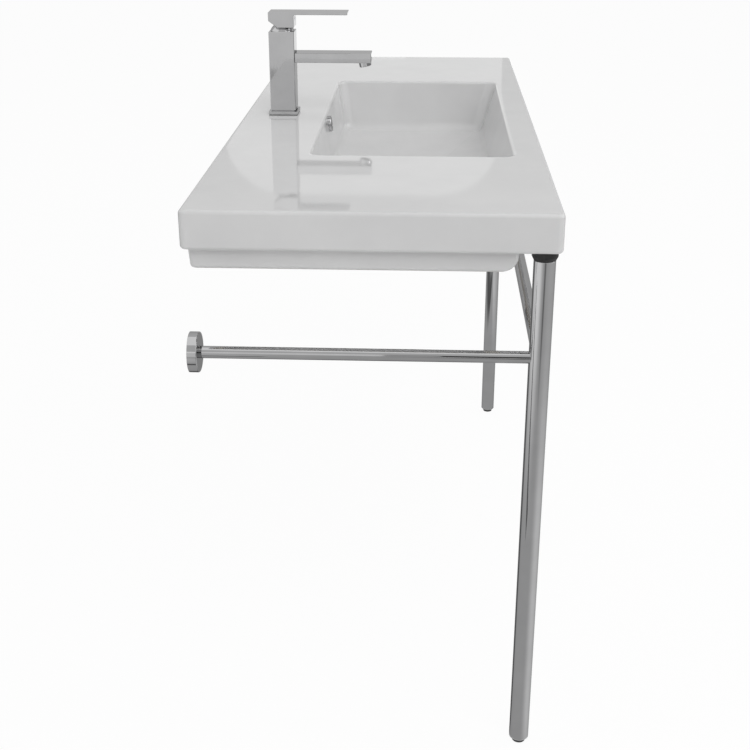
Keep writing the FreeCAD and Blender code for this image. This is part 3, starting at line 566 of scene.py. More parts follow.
def slabRings():
    # Over the top edge, down the side and under the lower edge of the slab.
    edge = basinShape["edgeRadius"]
    turn = quarterTurn(8)
    over, out = edge * (1 - np.cos(turn)), edge * (1 - np.sin(turn))
    inset = np.concatenate([out, over])
    z = np.concatenate([rimZ - over, slabBottom + out])
    corner = np.maximum(basinShape["cornerRadius"] - inset, basinShape["cornerLeast"])
    return insetRings(basinLow, basinHigh, inset, corner, z)


def bowlRectangle(z, grow):
    # The bowl's plan between its leaning walls at a height, grown on all sides.
    shape = basinShape
    share = (rimZ - z) / shape["bowlDepth"]
    half = shape["bowlLength"] / 2 - shape["endDraft"] * share + grow
    return (-half, half, basinLow[1] + shape["frontRim"] + shape["frontDraft"] * share - grow,
            -shape["backLedge"] - shape["backDraft"] * share + grow)


def bulgeRings():
    # The bowl's outside under the slab, its lower edge turned in to the boss round the drain.
    wall, edge, boss, bevel = pick(basinShape, "wall", "bulgeEdge", "bossRadius", "bossEdge")
    turn = quarterTurn(8)
    climb = bulgeBottom + edge * (1 - np.sin(turn))
    z = np.concatenate([[slabBottom, (slabBottom + bulgeBottom) / 2], climb])
    inset = np.concatenate([[0, 0], edge * (1 - np.cos(turn))])
    x0, x1, y0, y1 = bowlRectangle(z, wall)
    corner = basinShape["bowlCorner"] + wall - inset
    walls = levelRings(x0 + inset, x1 - inset, y0 + inset, y1 - inset, corner, z)
    radius = np.array([boss + bevel, boss, boss, boss - bevel])
    level = np.array([bulgeBottom, bulgeBottom - bevel, basinLow[2] + bevel, basinLow[2]])
    return np.concatenate([walls, roundRings(drain[1], radius, level)])


def plinthRings():
    # Lower body: upright ends, a leaning back and a front that sweeps under in a quarter arc.
    shape = basinShape
    nose, soft = pick(shape, "noseRadius", "plinthCorner")
    turn = quarterTurn(12)
    climb = np.concatenate([[shape["plinthHeight"] + shape["plinthLap"]], nose * (1 - np.sin(turn))])
    sweep = np.concatenate([[0], nose * (1 - np.cos(turn))])
    under = soft - np.sqrt(np.maximum(soft ** 2 - np.maximum(soft - climb, 0) ** 2, 0))
    half = basinHigh[0] - shape["plinthEnd"]
    back = -shape["plinthBack"] - shape["plinthLean"] * (1 - climb / shape["plinthHeight"])
    return levelRings(-half + under, half - under, basinLow[1] + shape["plinthFront"] + sweep, back - under,
                      soft, plinthBottom + climb)


def blockCutter(x0, x1, y0, y1, top, radius):
    # A block up from below the basin.
    z = np.array([plinthBottom - cutShape["overrun"], top])
    return makePiece("cutter", "ceramic", levelRings(x0, x1, y0, y1, radius, z))


def roundCutter(radius, centre, low, high, axis="z"):
    return makePiece("cutter", "ceramic", lathe(plugLine(radius, low, high), centre, axis))


def makePlinth():
    # The lower body, opened inside the bowl's walls.
    overrun = basinShape["coreOverrun"]
    z = np.array([slabBottom + overrun, plinthBottom - overrun])
    core = levelRings(*bowlRectangle(z, basinShape["wall"] / 2), basinShape["coreCorner"], z)
    plinth = makePiece("plinth", "ceramic", plinthRings())
    combine(plinth, makePiece("core", "ceramic", core))
    return plinth


def makeRib():
    # Upright rib behind the bowl that turns in to the drain's boss; its inner edge stays within the
    # thickness of the bowl's back wall and floor.
    rib = ribShape
    back = -cutShape["pocketFront"]
    inside = -basinShape["backLedge"] + basinShape["wall"] * rib["wallShare"]
    top, foot = slabBottom + rib["topLap"], basinLow[2] + rib["footLift"]
    floor = bulgeBottom + rib["floorLap"]
    near, far = drain[1] + rib["fromDrain"], drain[1] + rib["floorRun"]
    outline = roundedLine([(near, foot, 0), (back, foot, rib["bend"]), (back, top, 0), (inside, top, 0),
                           (far, floor, 0), (near, floor, 0)])
    return makePiece("rib", "ceramic", prism(outline, -rib["half"], rib["half"]))


def cutHollows(basin):
    # Bays under both ledges, pockets and holes for the wall bolts and the tap, the overflow's mouth.
    cut = cutShape
    over, soft = pick(cut, "overrun", "pocketCorner")
    bayIn = basinShape["bowlLength"] / 2 + basinShape["wall"]
    bayOut = basinHigh[0] - basinShape["plinthEnd"] - cut["bayWall"]
    wall, half = cut["fixingWall"], cut["fixingWidth"] / 2
    for side in (-1, 1):
        ends = sorted((side * bayIn, side * bayOut))
        combine(basin, blockCutter(*ends, basinLow[1] + cut["bayFront"], -cut["bayBack"],
                                   rimZ - cut["bayRoof"], cut["bayCorner"]))
        middle = side * cut["fixingSpacing"] / 2
        combine(basin, blockCutter(middle - half, middle + half, -wall - cut["fixingDepth"], -wall,
                                   rimZ - cut["fixingRoof"], soft))
        combine(basin, roundCutter(cut["fixingRadius"], (middle, 0, 0), -wall - over, over, "y"))
    half, ledge = cut["pocketWidth"] / 2, rimZ - cut["ledge"]
    combine(basin, blockCutter(-half, half, -cut["pocketFront"], -cut["pocketBack"], ledge, soft))
    combine(basin, roundCutter(cut["tapRadius"], (0, tapPlace[1], 0), ledge - over, rimZ + over))
    line = plugLine(cut["overflowRadius"], -cut["overflowLead"], cut["overflowDepth"])
    mouth = leanBack(lathe(line, overflowPlace, "y"), overflowPlace, -overflowLean)
    combine(basin, makePiece("cutter", "ceramic", mouth))


def makeBasin():
    # One skin from the drain up the bowl, over the slab and back under the bowl; then the lower body
    # and the rib are joined on and the hollows and holes are cut.
    shape = basinShape
    grow, inset = shape["rimRadius"] + shape["edgeSupport"], shape["edgeRadius"] + shape["edgeSupport"]
    corner = shape["cornerRadius"] - shape["edgeRadius"] + shape["edgeSupport"]
    lip = levelRings(*bowlRectangle(rimZ, grow), shape["bowlCorner"] + grow, rimZ)
    brink = insetRings(basinLow, basinHigh, inset, corner, rimZ)
    skin = np.concatenate([drainRings(), bowlRings(), lip, brink, slabRings(), bulgeRings()])
    basin = makePiece("basin", "ceramic", skin, wrapRows=True)
    combine(basin, makePlinth(), "UNION")
    combine(basin, makeRib(), "UNION")
    cutHollows(basin)
    smoothPiece(basin, True)
    seatPiece(basin, "sink", "ceramic", "basin")


makeBasin()
print("basin done")


# Overflow and waste

ringShape = {"radius": 0.013, "height": 0.006, "edge": 0.002, "bore": 0.0087, "boreEdge": 0.0008,
             "sleeve": 0.007, "sleeveWall": 0.0012}


def makeOverflowRing():
    # A turned ring that stands square to the leaning wall.
    shape = ringShape
    radius, bore, height, sleeve = pick(shape, "radius", "bore", "height", "sleeve")
    neck = bore + shape["sleeveWall"]
    line = roundedLine([(bore, sleeve, 0), (bore, -height, shape["boreEdge"]),
                        (radius, -height, shape["edge"]), (radius, 0, 0), (neck, 0, 0), (neck, sleeve, 0)],
                       closed=True)
    points = leanBack(lathe(line, overflowPlace, "y"), overflowPlace, -overflowLean)
    addPiece("overflowRing", "chrome", "overflow_ring", points)


wasteShape = {"tube": 0.0208, "tip": 0.0008, "bore": 0.0182, "boreEdge": 0.0015, "flange": 0.0022,
              "flangeEdge": 0.0008, "pitch": 0.002, "depth": 0.0009, "threadLow": 0.001, "threadHigh": 0.040,
              "threadEnd": 0.041}


def makeWaste():
    # Flanged tube with an outside thread where the nuts run.
    shape = wasteShape
    bottom, top = heightsOf("waste_body")
    tube, bore, pitch = pick(shape, "tube", "bore", "pitch")
    wide, under = halfWidth("waste_body"), top - shape["flange"]
    thread = threadRows(tube, bottom + shape["threadLow"], bottom + shape["threadHigh"], pitch)
    flange = roundedLine([(tube, under, 0), (wide, under, 0), (wide, top, shape["flangeEdge"]),
                          (bore, top, shape["boreEdge"]), (bore, bottom, 0)])
    line = np.concatenate([[(tube - shape["tip"], bottom)], thread, flange])
    ridge = threaded(bottom, bottom + shape["threadEnd"], tube, pitch, shape["depth"])
    addPiece("wasteBody", "chrome", "waste_body", lathe(line, drain, reshape=ridge))


nutShape = {"wasteFlats": 0.058, "couplingFlats": 0.050, "chamfer": 0.0028, "threadBore": 0.0209,
            "boreOver": 0.0005, "couplingFloor": 0.003, "couplingBore": 0.0169}


def makeNut(name, slotName, node, flats, bore, centre, floor=None, floorBore=None):
    # A six-sided nut whose corners are turned off by a chamfer at both faces; a floor closes its foot
    # down to a smaller bore.
    bottom, top = heightsOf(node)
    chamfer = nutShape["chamfer"] * flats / nutShape["wasteFlats"]
    corner, face = flats / math.sqrt(3), flats / 2 - chamfer / 3
    line = [(bore, bottom), (face, bottom), (corner, bottom + chamfer), (corner, top - chamfer), (face, top),
            (bore, top)]
    if floor is not None:
        line = [(floorBore, bottom)] + line[1:] + [(bore, bottom + floor), (floorBore, bottom + floor)]
    sides = hexagonal(flats, bore + nutShape["boreOver"])
    addPiece(name, slotName, node, lathe(np.array(line), centre, turns=96, reshape=sides))


tailShape = {"tube": 0.016, "tubeEdge": 0.0006, "bore": 0.0148, "lip": 0.020, "lipHeight": 0.003,
             "lipEdge": 0.0005, "collar": 0.0168, "collarLength": 0.008, "collarEdge": 0.0004}


def makeTail():
    # Turned tube with a collar and a lip that hangs in its nut.
    shape = tailShape
    bottom, top = heightsOf("tailpiece")
    shelf = top - shape["lipHeight"]
    step = shelf - shape["collarLength"]
    tube, bore, collar, lip = pick(shape, "tube", "bore", "collar", "lip")
    soft, eased = pick(shape, "collarEdge", "lipEdge")
    line = roundedLine([(bore, bottom, 0), (tube, bottom, shape["tubeEdge"]), (tube, step, soft),
                        (collar, step, soft), (collar, shelf, 0), (lip, shelf, eased), (lip, top, eased),
                        (bore, top, 0)], closed=True)
    addPiece("tailpiece", "chrome", "tailpiece", lathe(line, drain))


sealShape = {"gap": 0.0001, "edge": 0.0012, "taper": 0.0025}


def makeLowerSeal():
    # Tapered washer round the waste's tube.
    bottom, top = heightsOf("waste_lower_seal")
    edge, outer = sealShape["edge"], halfWidth("waste_lower_seal")
    bore = wasteShape["tube"] + sealShape["gap"]
    line = roundedLine([(bore, bottom, 0), (outer, bottom, edge), (outer - sealShape["taper"], top, edge),
                        (bore, top, 0)], closed=True)
    addPiece("wasteLowerSeal", "rubber", "waste_lower_seal", lathe(line, drain))


plugShape = {"crown": 0.002, "thickness": 0.003, "bevel": (0.0004, 0.0006), "bevelEdge": 0.0004,
             "lowEdge": 0.0006, "boss": 0.007, "bossRoot": 0.0008}


def makePlug():
    # Crowned cap: its height falls with the square of the share of the radius.
    shape = plugShape
    bottom, top = heightsOf("plug_cap")
    radius, boss = halfWidth("plug_cap"), shape["boss"]
    across, drop = shape["bevel"]
    brim = top - shape["crown"]
    under = brim - shape["thickness"]
    share = np.linspace(0, 1, 14)[:-1]
    crown = np.stack([share * (radius - across), top - shape["crown"] * share ** 2], axis=-1)
    rim = roundedLine([(radius - across, brim, 0), (radius, brim - drop, shape["bevelEdge"]),
                       (radius, under, shape["lowEdge"]), (boss, under, shape["bossRoot"]), (boss, bottom, 0),
                       (0, bottom, 0)])
    points = lathe(np.concatenate([crown, rim]), drain, turns=96)
    addPiece("plugCap", "chrome", "plug_cap", points, body="plug", wrapRows=False)


makeOverflowRing()
makeWaste()
makeNut("wasteNut", "brass", "waste_nut", nutShape["wasteFlats"], nutShape["threadBore"], drain)
makeNut("couplingNut", "chrome", "coupling_nut", nutShape["couplingFlats"], nutShape["threadBore"], drain,
        floor=nutShape["couplingFloor"], floorBore=nutShape["couplingBore"])
makeTail()
makeLowerSeal()
makePlug()
print("waste done")


# Tap

tapShape = {"edge": 0.001, "fineEdge": 0.0004, "neckInset": 0.002, "neckHeight": 0.0016, "bore": 0.0176,
            "boreDepth": 0.012, "plateBore": 0.0173, "plateEdge": 0.0008, "plateFoot": 0.0003,
            "inletRadius": 0.00445, "inletDepth": 0.014, "inletOffset": 0.008, "inletForward": 0.005,
            "aeratorSeat": 0.0091, "aeratorDepth": 0.0071, "overrun": 0.002}
aeratorY = middleOf("aerator_insert")[1]


def makeBasePlate():
    # Square plate with a soft upper edge, bored for the supplies.
    low, high = boxOf("tap_base_plate")
    soft, foot, bore = pick(tapShape, "plateEdge", "plateFoot", "plateBore")
    turn = quarterTurn(5)
    inset = np.concatenate([[foot, 0], soft * (1 - np.cos(turn))])
    z = np.concatenate([[low[2], low[2] + foot], high[2] - soft * (1 - np.sin(turn))])
    outer = insetRings(low, high, inset, tapShape["edge"], z)
    inner = roundRings(tapPlace[1], bore, np.array([high[2], low[2]]))
    addPiece("tapBasePlate", "tap_chrome", "tap_base_plate", np.concatenate([outer, inner]), flat=True)


def makeColumn():
    # Neck, square column with fine edges, and the cartridge bore sunk in its top.
    shape = tapShape
    low, high = boxOf("tap_column")
    neck, fine = pick(shape, "neckInset", "fineEdge")
    shelf = low[2] + shape["neckHeight"]
    inset = np.array([neck, neck, fine, 0, 0, fine])
    z = np.array([low[2], shelf, shelf, shelf + fine, high[2] - fine, high[2]])
    outer = insetRings(low, high, inset, shape["edge"], z)
    inner = roundRings(tapPlace[1], shape["bore"], np.array([high[2], high[2] - shape["boreDepth"]]))
    column = makePiece("tapColumn", "tap_chrome", np.concatenate([outer, inner]))
    for side in (-1, 1):
        inlet = (side * shape["inletOffset"], tapPlace[1] - shape["inletForward"], 0)
        combine(column, roundCutter(shape["inletRadius"], inlet, low[2] - shape["overrun"],
                                    low[2] + shape["inletDepth"]))
    smoothPiece(column, True)
    seatPiece(column, "sink", "tap_chrome", "tap_column")


def makeSpout():
    # Flat bar with fine edges, bored underneath for the aerator.
    low, high = boxOf("spout")
    spout = makePiece("spout", "tap_chrome", softBar(low, high, tapShape["edge"]))
    combine(spout, roundCutter(tapShape["aeratorSeat"], (0, aeratorY, 0), low[2] - tapShape["overrun"],
                               low[2] + tapShape["aeratorDepth"]))
    spout.data.materials[0] = drawnAlong["y"]
    smoothPiece(spout, True)
    seatPiece(spout, "sink", "tap_chrome", "spout")


aeratorShape = {"collar": 0.0098, "sleeve": 0.0090, "bore": 0.0076, "drop": 0.0075, "edge": 0.0005,
                "tilt": math.radians(12)}


def makeAerator():
    # Upright sleeve over a leaning collar. A leaning ring is r cos t, r sin t at a depth along the
    # tilted axis; a seam ring slides up that axis to the spout's underside.
    shape = aeratorShape
    base, top = heightsOf("spout")[0], heightsOf("aerator_housing")[1]
    collar, sleeve, bore, drop, edge = pick(shape, "collar", "sleeve", "bore", "drop", "edge")
    pivot = np.array([0, aeratorY, base])
    turn = np.linspace(0, 2 * math.pi, 72, endpoint=False)
    axis = np.array([0, math.sin(shape["tilt"]), math.cos(shape["tilt"])])

    def upright(radius, z):
        x, y = radius * np.cos(turn), aeratorY + radius * np.sin(turn)
        return np.stack([x, y, np.full_like(turn, z)], axis=-1)

    def leaning(radius, depth):
        return leanBack(upright(radius, base - depth), pivot, -shape["tilt"])

    def seam(radius):
        ring = leaning(radius, drop)
        return ring + axis * ((base - ring[:, 2:]) / axis[2])

    rows = [leaning(bore, drop), leaning(collar - edge, drop), leaning(collar, drop - edge), seam(collar),
            upright(sleeve, base), upright(sleeve, top), upright(bore, top), seam(bore)]
    addPiece("aeratorHousing", "tap_chrome", "aerator_housing", np.stack(rows))


domeShape = {"wall": 0.0016, "mouth": 0.0126, "skirt": 0.0174, "skirtWall": 0.0014, "skirtTop": 0.002}


def makeDome():
    # Part of a ball centred on the lever's pivot, open at the top for the spindle, over a skirt that
    # sits in the column.
    shape = domeShape
    bottom, brim = heightsOf("tap_dome")
    top, middle = heightsOf("tap_column")[1], middleOf("spindle_pin")[2]
    mouth, skirt = pick(shape, "mouth", "skirt")
    bore, ceiling = skirt - shape["skirtWall"], top + shape["skirtTop"]
    radius = math.hypot(mouth, brim - middle)
    inside = radius - shape["wall"]
    outer = ballLine(radius, middle, math.asin((top - middle) / radius), math.acos(mouth / radius), 16)
    inner = ballLine(inside, middle, math.acos(mouth / inside), math.asin((ceiling - middle) / inside), 12)
    foot = np.array([(bore, ceiling), (bore, bottom), (skirt, bottom), (skirt, top)])
    points = lathe(np.concatenate([outer, inner, foot]), tapPlace, turns=96)
    addPiece("tapDome", "tap_chrome", "tap_dome", points)


leverShape = {"blade": 0.004, "lift": 0.0064, "heelRun": 0.015, "heelRise": 0.0107, "root": 0.0025,
              "edge": 0.0008, "edgeSteps": 4, "ball": 0.0214, "indexRadius": 0.0035, "indexDrop": 0.0115,
              "indexLead": 0.005, "indexDepth": 0.0024}


def makeLever():
    # Side outline of head and blade carried across the tap's width, its edges softened, with a ball
    # hollowed out underneath and a seat for the button in front.
    shape = leverShape
    low, high = boxOf("lever_handle")
    columnLow, columnHigh = boxOf("tap_column")
    rear, front, bottom = columnHigh[1], columnLow[1], columnHigh[2] + shape["lift"]
    tip, top = low[1], high[2]
    bladeZ = top - shape["blade"]
    outline = roundedLine([(rear, top, 0), (rear, bottom + shape["heelRise"], 0),
                           (rear - shape["heelRun"], bottom, 0), (front, bottom, 0),
                           (front, bladeZ, shape["root"]), (tip, bladeZ, 0), (tip, top, 0)])
    lever = makePiece("leverHandle", "tap_chrome", prism(outline, low[0], high[0]))
    soften = lever.modifiers.new("softEdges", "BEVEL")
    soften.width = shape["edge"]
    soften.segments = shape["edgeSteps"]
    soften.limit_method = "ANGLE"
    soften.angle_limit = creaseAngle
    applyModifiers(lever)
    ball = ballLine(shape["ball"], middleOf("spindle_pin")[2], -math.pi / 2, math.pi / 2, 37)
    combine(lever, makePiece("cutter", "tap_chrome", lathe(ball, tapPlace, turns=96)))
    combine(lever, roundCutter(shape["indexRadius"], (0, 0, top - shape["indexDrop"]),
                               front - shape["indexLead"], front + shape["indexDepth"], "y"))
    lever.data.materials[0] = drawnAlong["y"]
    smoothPiece(lever, True)
    seatPiece(lever, "lever", "tap_chrome", "lever_handle")


buttonShape = {"sunk": 0.0001, "edge": 0.0007}


def makeButton():
    # Round plug with a soft rim in the lever's front.
    low, high = boxOf("index_plug")
    front, back, radius = low[1] + buttonShape["sunk"], high[1], halfWidth("index_plug")
    line = roundedLine([(0, front, 0), (radius, front, buttonShape["edge"]), (radius, back, 0), (0, back, 0)])
    points = lathe(line, (0, 0, middleOf("index_plug")[2]), "y", 48)
    addPiece("indexButton", "index_plastic", "index_plug", points, body="lever", wrapRows=False)


clampShape = {"radius": 0.004, "pitch": 0.00125, "depth": 0.0006, "bare": 0.001, "tipShare": 0.8,
              "nutFlats": 0.013, "nutGap": 0.0001}


def makeClamp():
    # Threaded stud and its nut under the ledge.
    shape = clampShape
    bottom, top = heightsOf("clamp_stud")
    place = standsAt("clamp_stud")
    radius, pitch, bare = pick(shape, "radius", "pitch", "bare")
    tip = radius * shape["tipShare"]
    rows = threadRows(radius, bottom + bare, top - bare, pitch)
    line = np.concatenate([[(0, bottom), (tip, bottom)], rows, [(tip, top), (0, top)]])
    points = lathe(line, place, turns=32, reshape=threaded(bottom, top, radius, pitch, shape["depth"]))
    addPiece("clampStud", "steel", "clamp_stud", points, wrapRows=False)
    makeNut("clampNut", "brass", "clamp_nut", shape["nutFlats"], radius + shape["nutGap"], place)


makeBasePlate()
makeColumn()
makeSpout()
makeAerator()
makeDome()
makeLever()
makeButton()
makeClamp()
print("tap done")


# Stand

tubeShape = {"legRadius": 0.014, "legWall": 0.0015, "legFoot": 0.0002, "legTop": 0.0006, "legBore": 0.0003,
             "railWall": 0.0015, "frontRadius": 0.0095, "sideRadius": 0.008}


def makeLeg(side):
    # Straight tube with eased edges.
    node = "leg_" + side
    bottom, top = heightsOf(node)
    outer, bore = tubeShape["legRadius"], tubeShape["legRadius"] - tubeShape["legWall"]
    line = roundedLine([(bore, bottom, 0), (outer, bottom, tubeShape["legFoot"]),
                        (outer, top, tubeShape["legTop"]), (bore, top, tubeShape["legBore"])],
                       closed=True, steps=3)
    addPiece(side + "Leg", "stand_chrome", node, lathe(line, standsAt(node), turns=96), flat=True)


padShape = {"lipHeight": 0.010, "lipEdge": 0.0008, "shoulder": 0.003, "legEdge": 0.0006, "screw": 0.004,
            "screwTip": 0.0005}


def makePad(side):
    # Moulded pad: a lip under the basin that tapers to the leg, on its screw.
    node = "leg_pad_" + side
    shape = padShape
    bottom, top = heightsOf(node)
    legTop = heightsOf("leg_" + side)[1]
    wide, screw = halfWidth(node), shape["screw"]
    line = roundedLine([(0, bottom, 0), (screw, bottom, shape["screwTip"]), (screw, legTop, 0),
                        (tubeShape["legRadius"], legTop, shape["legEdge"]),
                        (wide, top - shape["lipHeight"], shape["shoulder"]), (wide, top, shape["lipEdge"]),
                        (0, top, 0)])
    addPiece(side + "LegPad", "pad_rubber", node, lathe(line, standsAt(node)), wrapRows=False)


endShape = {"chamfer": 0.0032, "bore": 0.00408, "plug": 0.0124, "footEdge": 0.0006, "bevelEdge": 0.0008,
            "seamEdge": 0.0002, "plugEdge": 0.0008}


def makeLegEnd(side):
    # Bevelled end under the leg's tube, with a bored plug up inside it.
    node = "leg_end_plug_" + side
    shape = endShape
    bottom, top = heightsOf(node)
    legBottom, outer = heightsOf("leg_" + side)[0], tubeShape["legRadius"]
    chamfer, bore, plug = pick(shape, "chamfer", "bore", "plug")
    line = roundedLine([(bore, bottom, 0), (outer - chamfer, bottom, shape["footEdge"]),
                        (outer, bottom + chamfer, shape["bevelEdge"]), (outer, legBottom, shape["seamEdge"]),
                        (plug, legBottom, 0), (plug, top, shape["plugEdge"]), (bore, top, 0)], closed=True)
    addPiece(side + "LegEnd", "stand_chrome", node, lathe(line, standsAt(node), turns=96), flat=True)


footShape = {"height": 0.0045, "edge": 0.0012, "rim": 0.0005, "screw": 0.004, "pitch": 0.00125,
             "depth": 0.0006, "neckShare": 0.82, "tipShare": 0.8, "threadLow": 0.0008, "threadHigh": 0.001}


def makeFoot(side):
    # Glide with a soft rim on a threaded stud.
    node = "leg_foot_" + side
    shape = footShape
    bottom, top = heightsOf(node)
    wide, shelf = halfWidth(node), bottom + shape["height"]
    screw, pitch = pick(shape, "screw", "pitch")
    glide = roundedLine([(0, bottom, 0), (wide, bottom, shape["edge"]), (wide, shelf, shape["rim"]),
                         (screw * shape["neckShare"], shelf, 0)])
    rows = threadRows(screw, shelf + shape["threadLow"], top - shape["threadHigh"], pitch)
    line = np.concatenate([glide, rows, [(screw * shape["tipShare"], top), (0, top)]])
    ridge = threaded(shelf, top, screw, pitch, shape["depth"])
    points = lathe(line, standsAt(node), turns=48, reshape=ridge)
    addPiece(side + "Foot", "pad_rubber", node, points, body=side + "_foot", wrapRows=False)


def copedTube(name, node, radius, axis, centre, starts, ends):
    # A tube between two end surfaces; starts and ends give the place along the axis for each angle,
    # so an end can follow the round leg it meets: leg centre less sqrt(R2 - (r cos t)2).
    angle = np.linspace(0, 2 * math.pi, 72, endpoint=False)
    rows = []
    for wall, way in ((radius, (starts, ends)), (radius - tubeShape["railWall"], (ends, starts))):
        across, up = wall * np.cos(angle), wall * np.sin(angle)
        rows += [np.stack([across, end(across), up], axis=-1) for end in way]
    points = np.stack(rows)
    if axis == "x":
        points = points[..., [1, 0, 2]]
    rail = makePiece(name, "stand_chrome", points + np.asarray(centre), wrapRows=True)
    rail.data.materials[0] = drawnAlong[axis]
    seatPiece(rail, "sink", "stand_chrome", node)


def cope(across):
    return np.sqrt(tubeShape["legRadius"] ** 2 - across ** 2)


def makeRails():
    # The front rail between the legs, and a side rail from each leg back to its rosette.
    left, right = middleOf("leg_left"), middleOf("leg_right")
    place = middleOf("front_rail")
    copedTube("frontRail", "front_rail", tubeShape["frontRadius"], "x", (0, place[1], place[2]),
              lambda across: left[0] + cope(across), lambda across: right[0] - cope(across))
    for side, leg in (("left", left), ("right", right)):
        node = "side_rail_" + side
        back, place = boxOf(node)[1][1], middleOf(node)
        copedTube(side + "SideRail", node, tubeShape["sideRadius"], "y", (place[0], 0, place[2]),
                  lambda across: leg[1] + cope(across), lambda across: back + 0 * across)


rosetteShape = {"edge": 0.0015, "backEdge": 0.0004, "innerEdge": 0.0005, "wall": 0.002, "bore": 0.0081}


def makeRosette(side):
    # Cup over the wall plate, turned about the rail's line.
    shape = rosetteShape
    node = "rosette_" + side
    low, high = boxOf(node)
    front, back, place = low[1], high[1], middleOf(node)
    outer, bore, soft = halfWidth(node), shape["bore"], shape["innerEdge"]
    inside, floor = outer - shape["wall"], front + shape["wall"]
    line = roundedLine([(inside, back, 0), (outer, back, shape["backEdge"]), (outer, front, shape["edge"]),
                        (bore, front, soft), (bore, floor, 0), (inside, floor, soft)], closed=True)
    points = lathe(line, (place[0], 0, place[2]), "y", 96)
    addPiece(side + "Rosette", "stand_chrome", node, points, flat=True)


for side in ("left", "right"):
    makeLeg(side)
    makePad(side)
    makeLegEnd(side)
    makeFoot(side)
    makeRosette(side)
makeRails()
print("stand done")


# Studio

studio = {"fill": 0.455, "white": 0.985, "floorHalf": 40.0, "floorDrop": 0.0002, "floorGlow": 0.95,
          "floorSockets": {"Base Color": (0.95, 0.95, 0.95, 1), "Roughness": 0.8, "Specular IOR Level": 0.0}}
lamps = {"keyLight": {"place": (-2.8, -1.3, 2.7), "aim": (0, -0.25, -0.05), "size": 2.6, "energy": 56.5,
                      "mirrored": False},
         "frontLight": {"place": (0, -3.5, 2.2), "aim": (0, -0.25, 0), "size": 1.8, "energy": 18.5,
                        "mirrored": True},
         "farLight": {"place": (1.4, -0.5, 3.2), "aim": (0, -0.25, -0.05), "size": 2.0, "energy": 13.0,
                      "mirrored": False}}
whiteRays = ("Is Camera Ray", "Is Glossy Ray", "Is Transmission Ray")


def mixByRay(tree, share, lit, white, output):
    # Shows white, up to a share, to rays of any of the kinds above, and what is lit to all others.
    path = tree.nodes.new("ShaderNodeLightPath")
    seen = path.outputs[whiteRays[0]]
    for name in whiteRays[1:]:
        seen = reckon(tree, "MAXIMUM", seen, path.outputs[name])
    mix = tree.nodes.new("ShaderNodeMixShader")
    tree.links.new(reckon(tree, "MULTIPLY", seen, share), mix.inputs["Fac"])
    tree.links.new(lit, mix.inputs[1])
    tree.links.new(white, mix.inputs[2])
    tree.links.new(mix.outputs["Shader"], tree.nodes[output].inputs["Surface"])


def makeWorld():
    # Soft grey light all round; the camera, metal and glass see plain white.
    world = bpy.data.worlds.new("studioWorld")
    scene.world = world
    world.use_nodes = True
    tree = world.node_tree
    light, white = tree.nodes["Background"], tree.nodes.new("ShaderNodeBackground")
    for source, strength in ((light, studio["fill"]), (white, studio["white"])):
        source.inputs["Color"].default_value = (1, 1, 1, 1)
        source.inputs["Strength"].default_value = strength
    mixByRay(tree, 1, light.outputs["Background"], white.outputs["Background"], "World Output")


def makeFloor():
    # Pale floor under the feet: mostly its own white to the camera, so the shadow stays faint.
    half = studio["floorHalf"]
    z = cadBox[0][2] - studio["floorDrop"]
    mesh = bpy.data.meshes.new("floor")
    corners = [(-half, -half, z), (half, -half, z), (half, half, z), (-half, half, z)]
    mesh.from_pydata(corners, [], [(0, 1, 2, 3)])
    floor = addObject("floor", mesh)
    paint, tree, shader = startFinish("paleFloor", studio["floorSockets"])
    glow = tree.nodes.new("ShaderNodeEmission")
    mixByRay(tree, studio["floorGlow"], shader.outputs["BSDF"], glow.outputs["Emission"], "Material Output")
    mesh.materials.append(paint)


def aimObject(holder, place, ahead):
    holder.location = place
    holder.rotation_euler = ahead.to_track_quat("-Z", "Y").to_euler()


def makeLamps():
    for name, look in lamps.items():
        lamp = bpy.data.lights.new(name, "AREA")
        lamp.shape = "SQUARE"
        lamp.size = look["size"]
        lamp.energy = look["energy"]
        holder = addObject(name, lamp)
        holder.visible_glossy = look["mirrored"]
        aimObject(holder, look["place"], Vector(look["aim"]) - Vector(look["place"]))


# Painted reflection of the floor that polished surfaces see, with painted shade in it: greys by bearing in
# degrees and distance from the near leg.
floorShade = {"near": 0.46, "reach": (0.02, 9.0), "lift": 0.002,
              "wallSide": 0.50, "wallFrom": (8, 52), "wallTo": (40, 90), "wallReach": (0.55, 1.9),
              "front": 0.30, "frontFrom": (5, 75), "frontTo": (10, 50), "frontReach": (0.5, 1.8),
              "frontFade": 0.7,
              "cameraBand": -0.30, "bandBearing": 5, "bandWidth": 8, "bandReach": (1.0, 1.8),
              "behind": -0.34, "behindFrom": (108, 128), "behindTo": (25, 40),
              "line": 0.14, "lineX": (-1.12, -0.96), "lineY": (0.0, 1.6), "lineLift": 0.001}
farWall = {"grey": 0.61, "x": 3.2, "reach": 7.0, "window": (-0.60, 0.57, -0.60, 1.01), "radius": 0.25}
# Grey, x, y and z of cards beyond the part at +X, behind the camera at -X, and one out in front; each glows
# as a painted reflection, light ones painting highlights and dark ones painting dark streaks in the chrome.
standingCards = {"inWindow": (0.82, 3.21, (-0.60, 0.57), (-0.60, 1.01)),
                 "lowGlow": (1.36, 3.19, (-0.9, -0.2), (-0.62, -0.12)),
                 "behindCamera": (0.76, -5.0, (-4.0, 4.0), (-0.7, 1.0)),
                 "aboveCamera": (1.0, -5.0, (-4.0, 4.0), (1.0, 1.6)),
                 "highBehind": (0.60, -5.0, (-4.0, 4.0), (1.6, 7.0)),
                 "railReflectedStreak": (0.05, -4.9, (-1.2, -0.38), (-0.30, 1.60)),
                 "streakEnd": (0.42, -4.9, (-0.38, -0.10), (-0.60, 2.0)),
                 "rimGlow": (1.2, 3.18, (-0.2, 0.35), (0.02, 0.42)),
                 "frontFlag": (0.28, (-5.0, 3.2), -3.6, (-0.75, 0.45))}


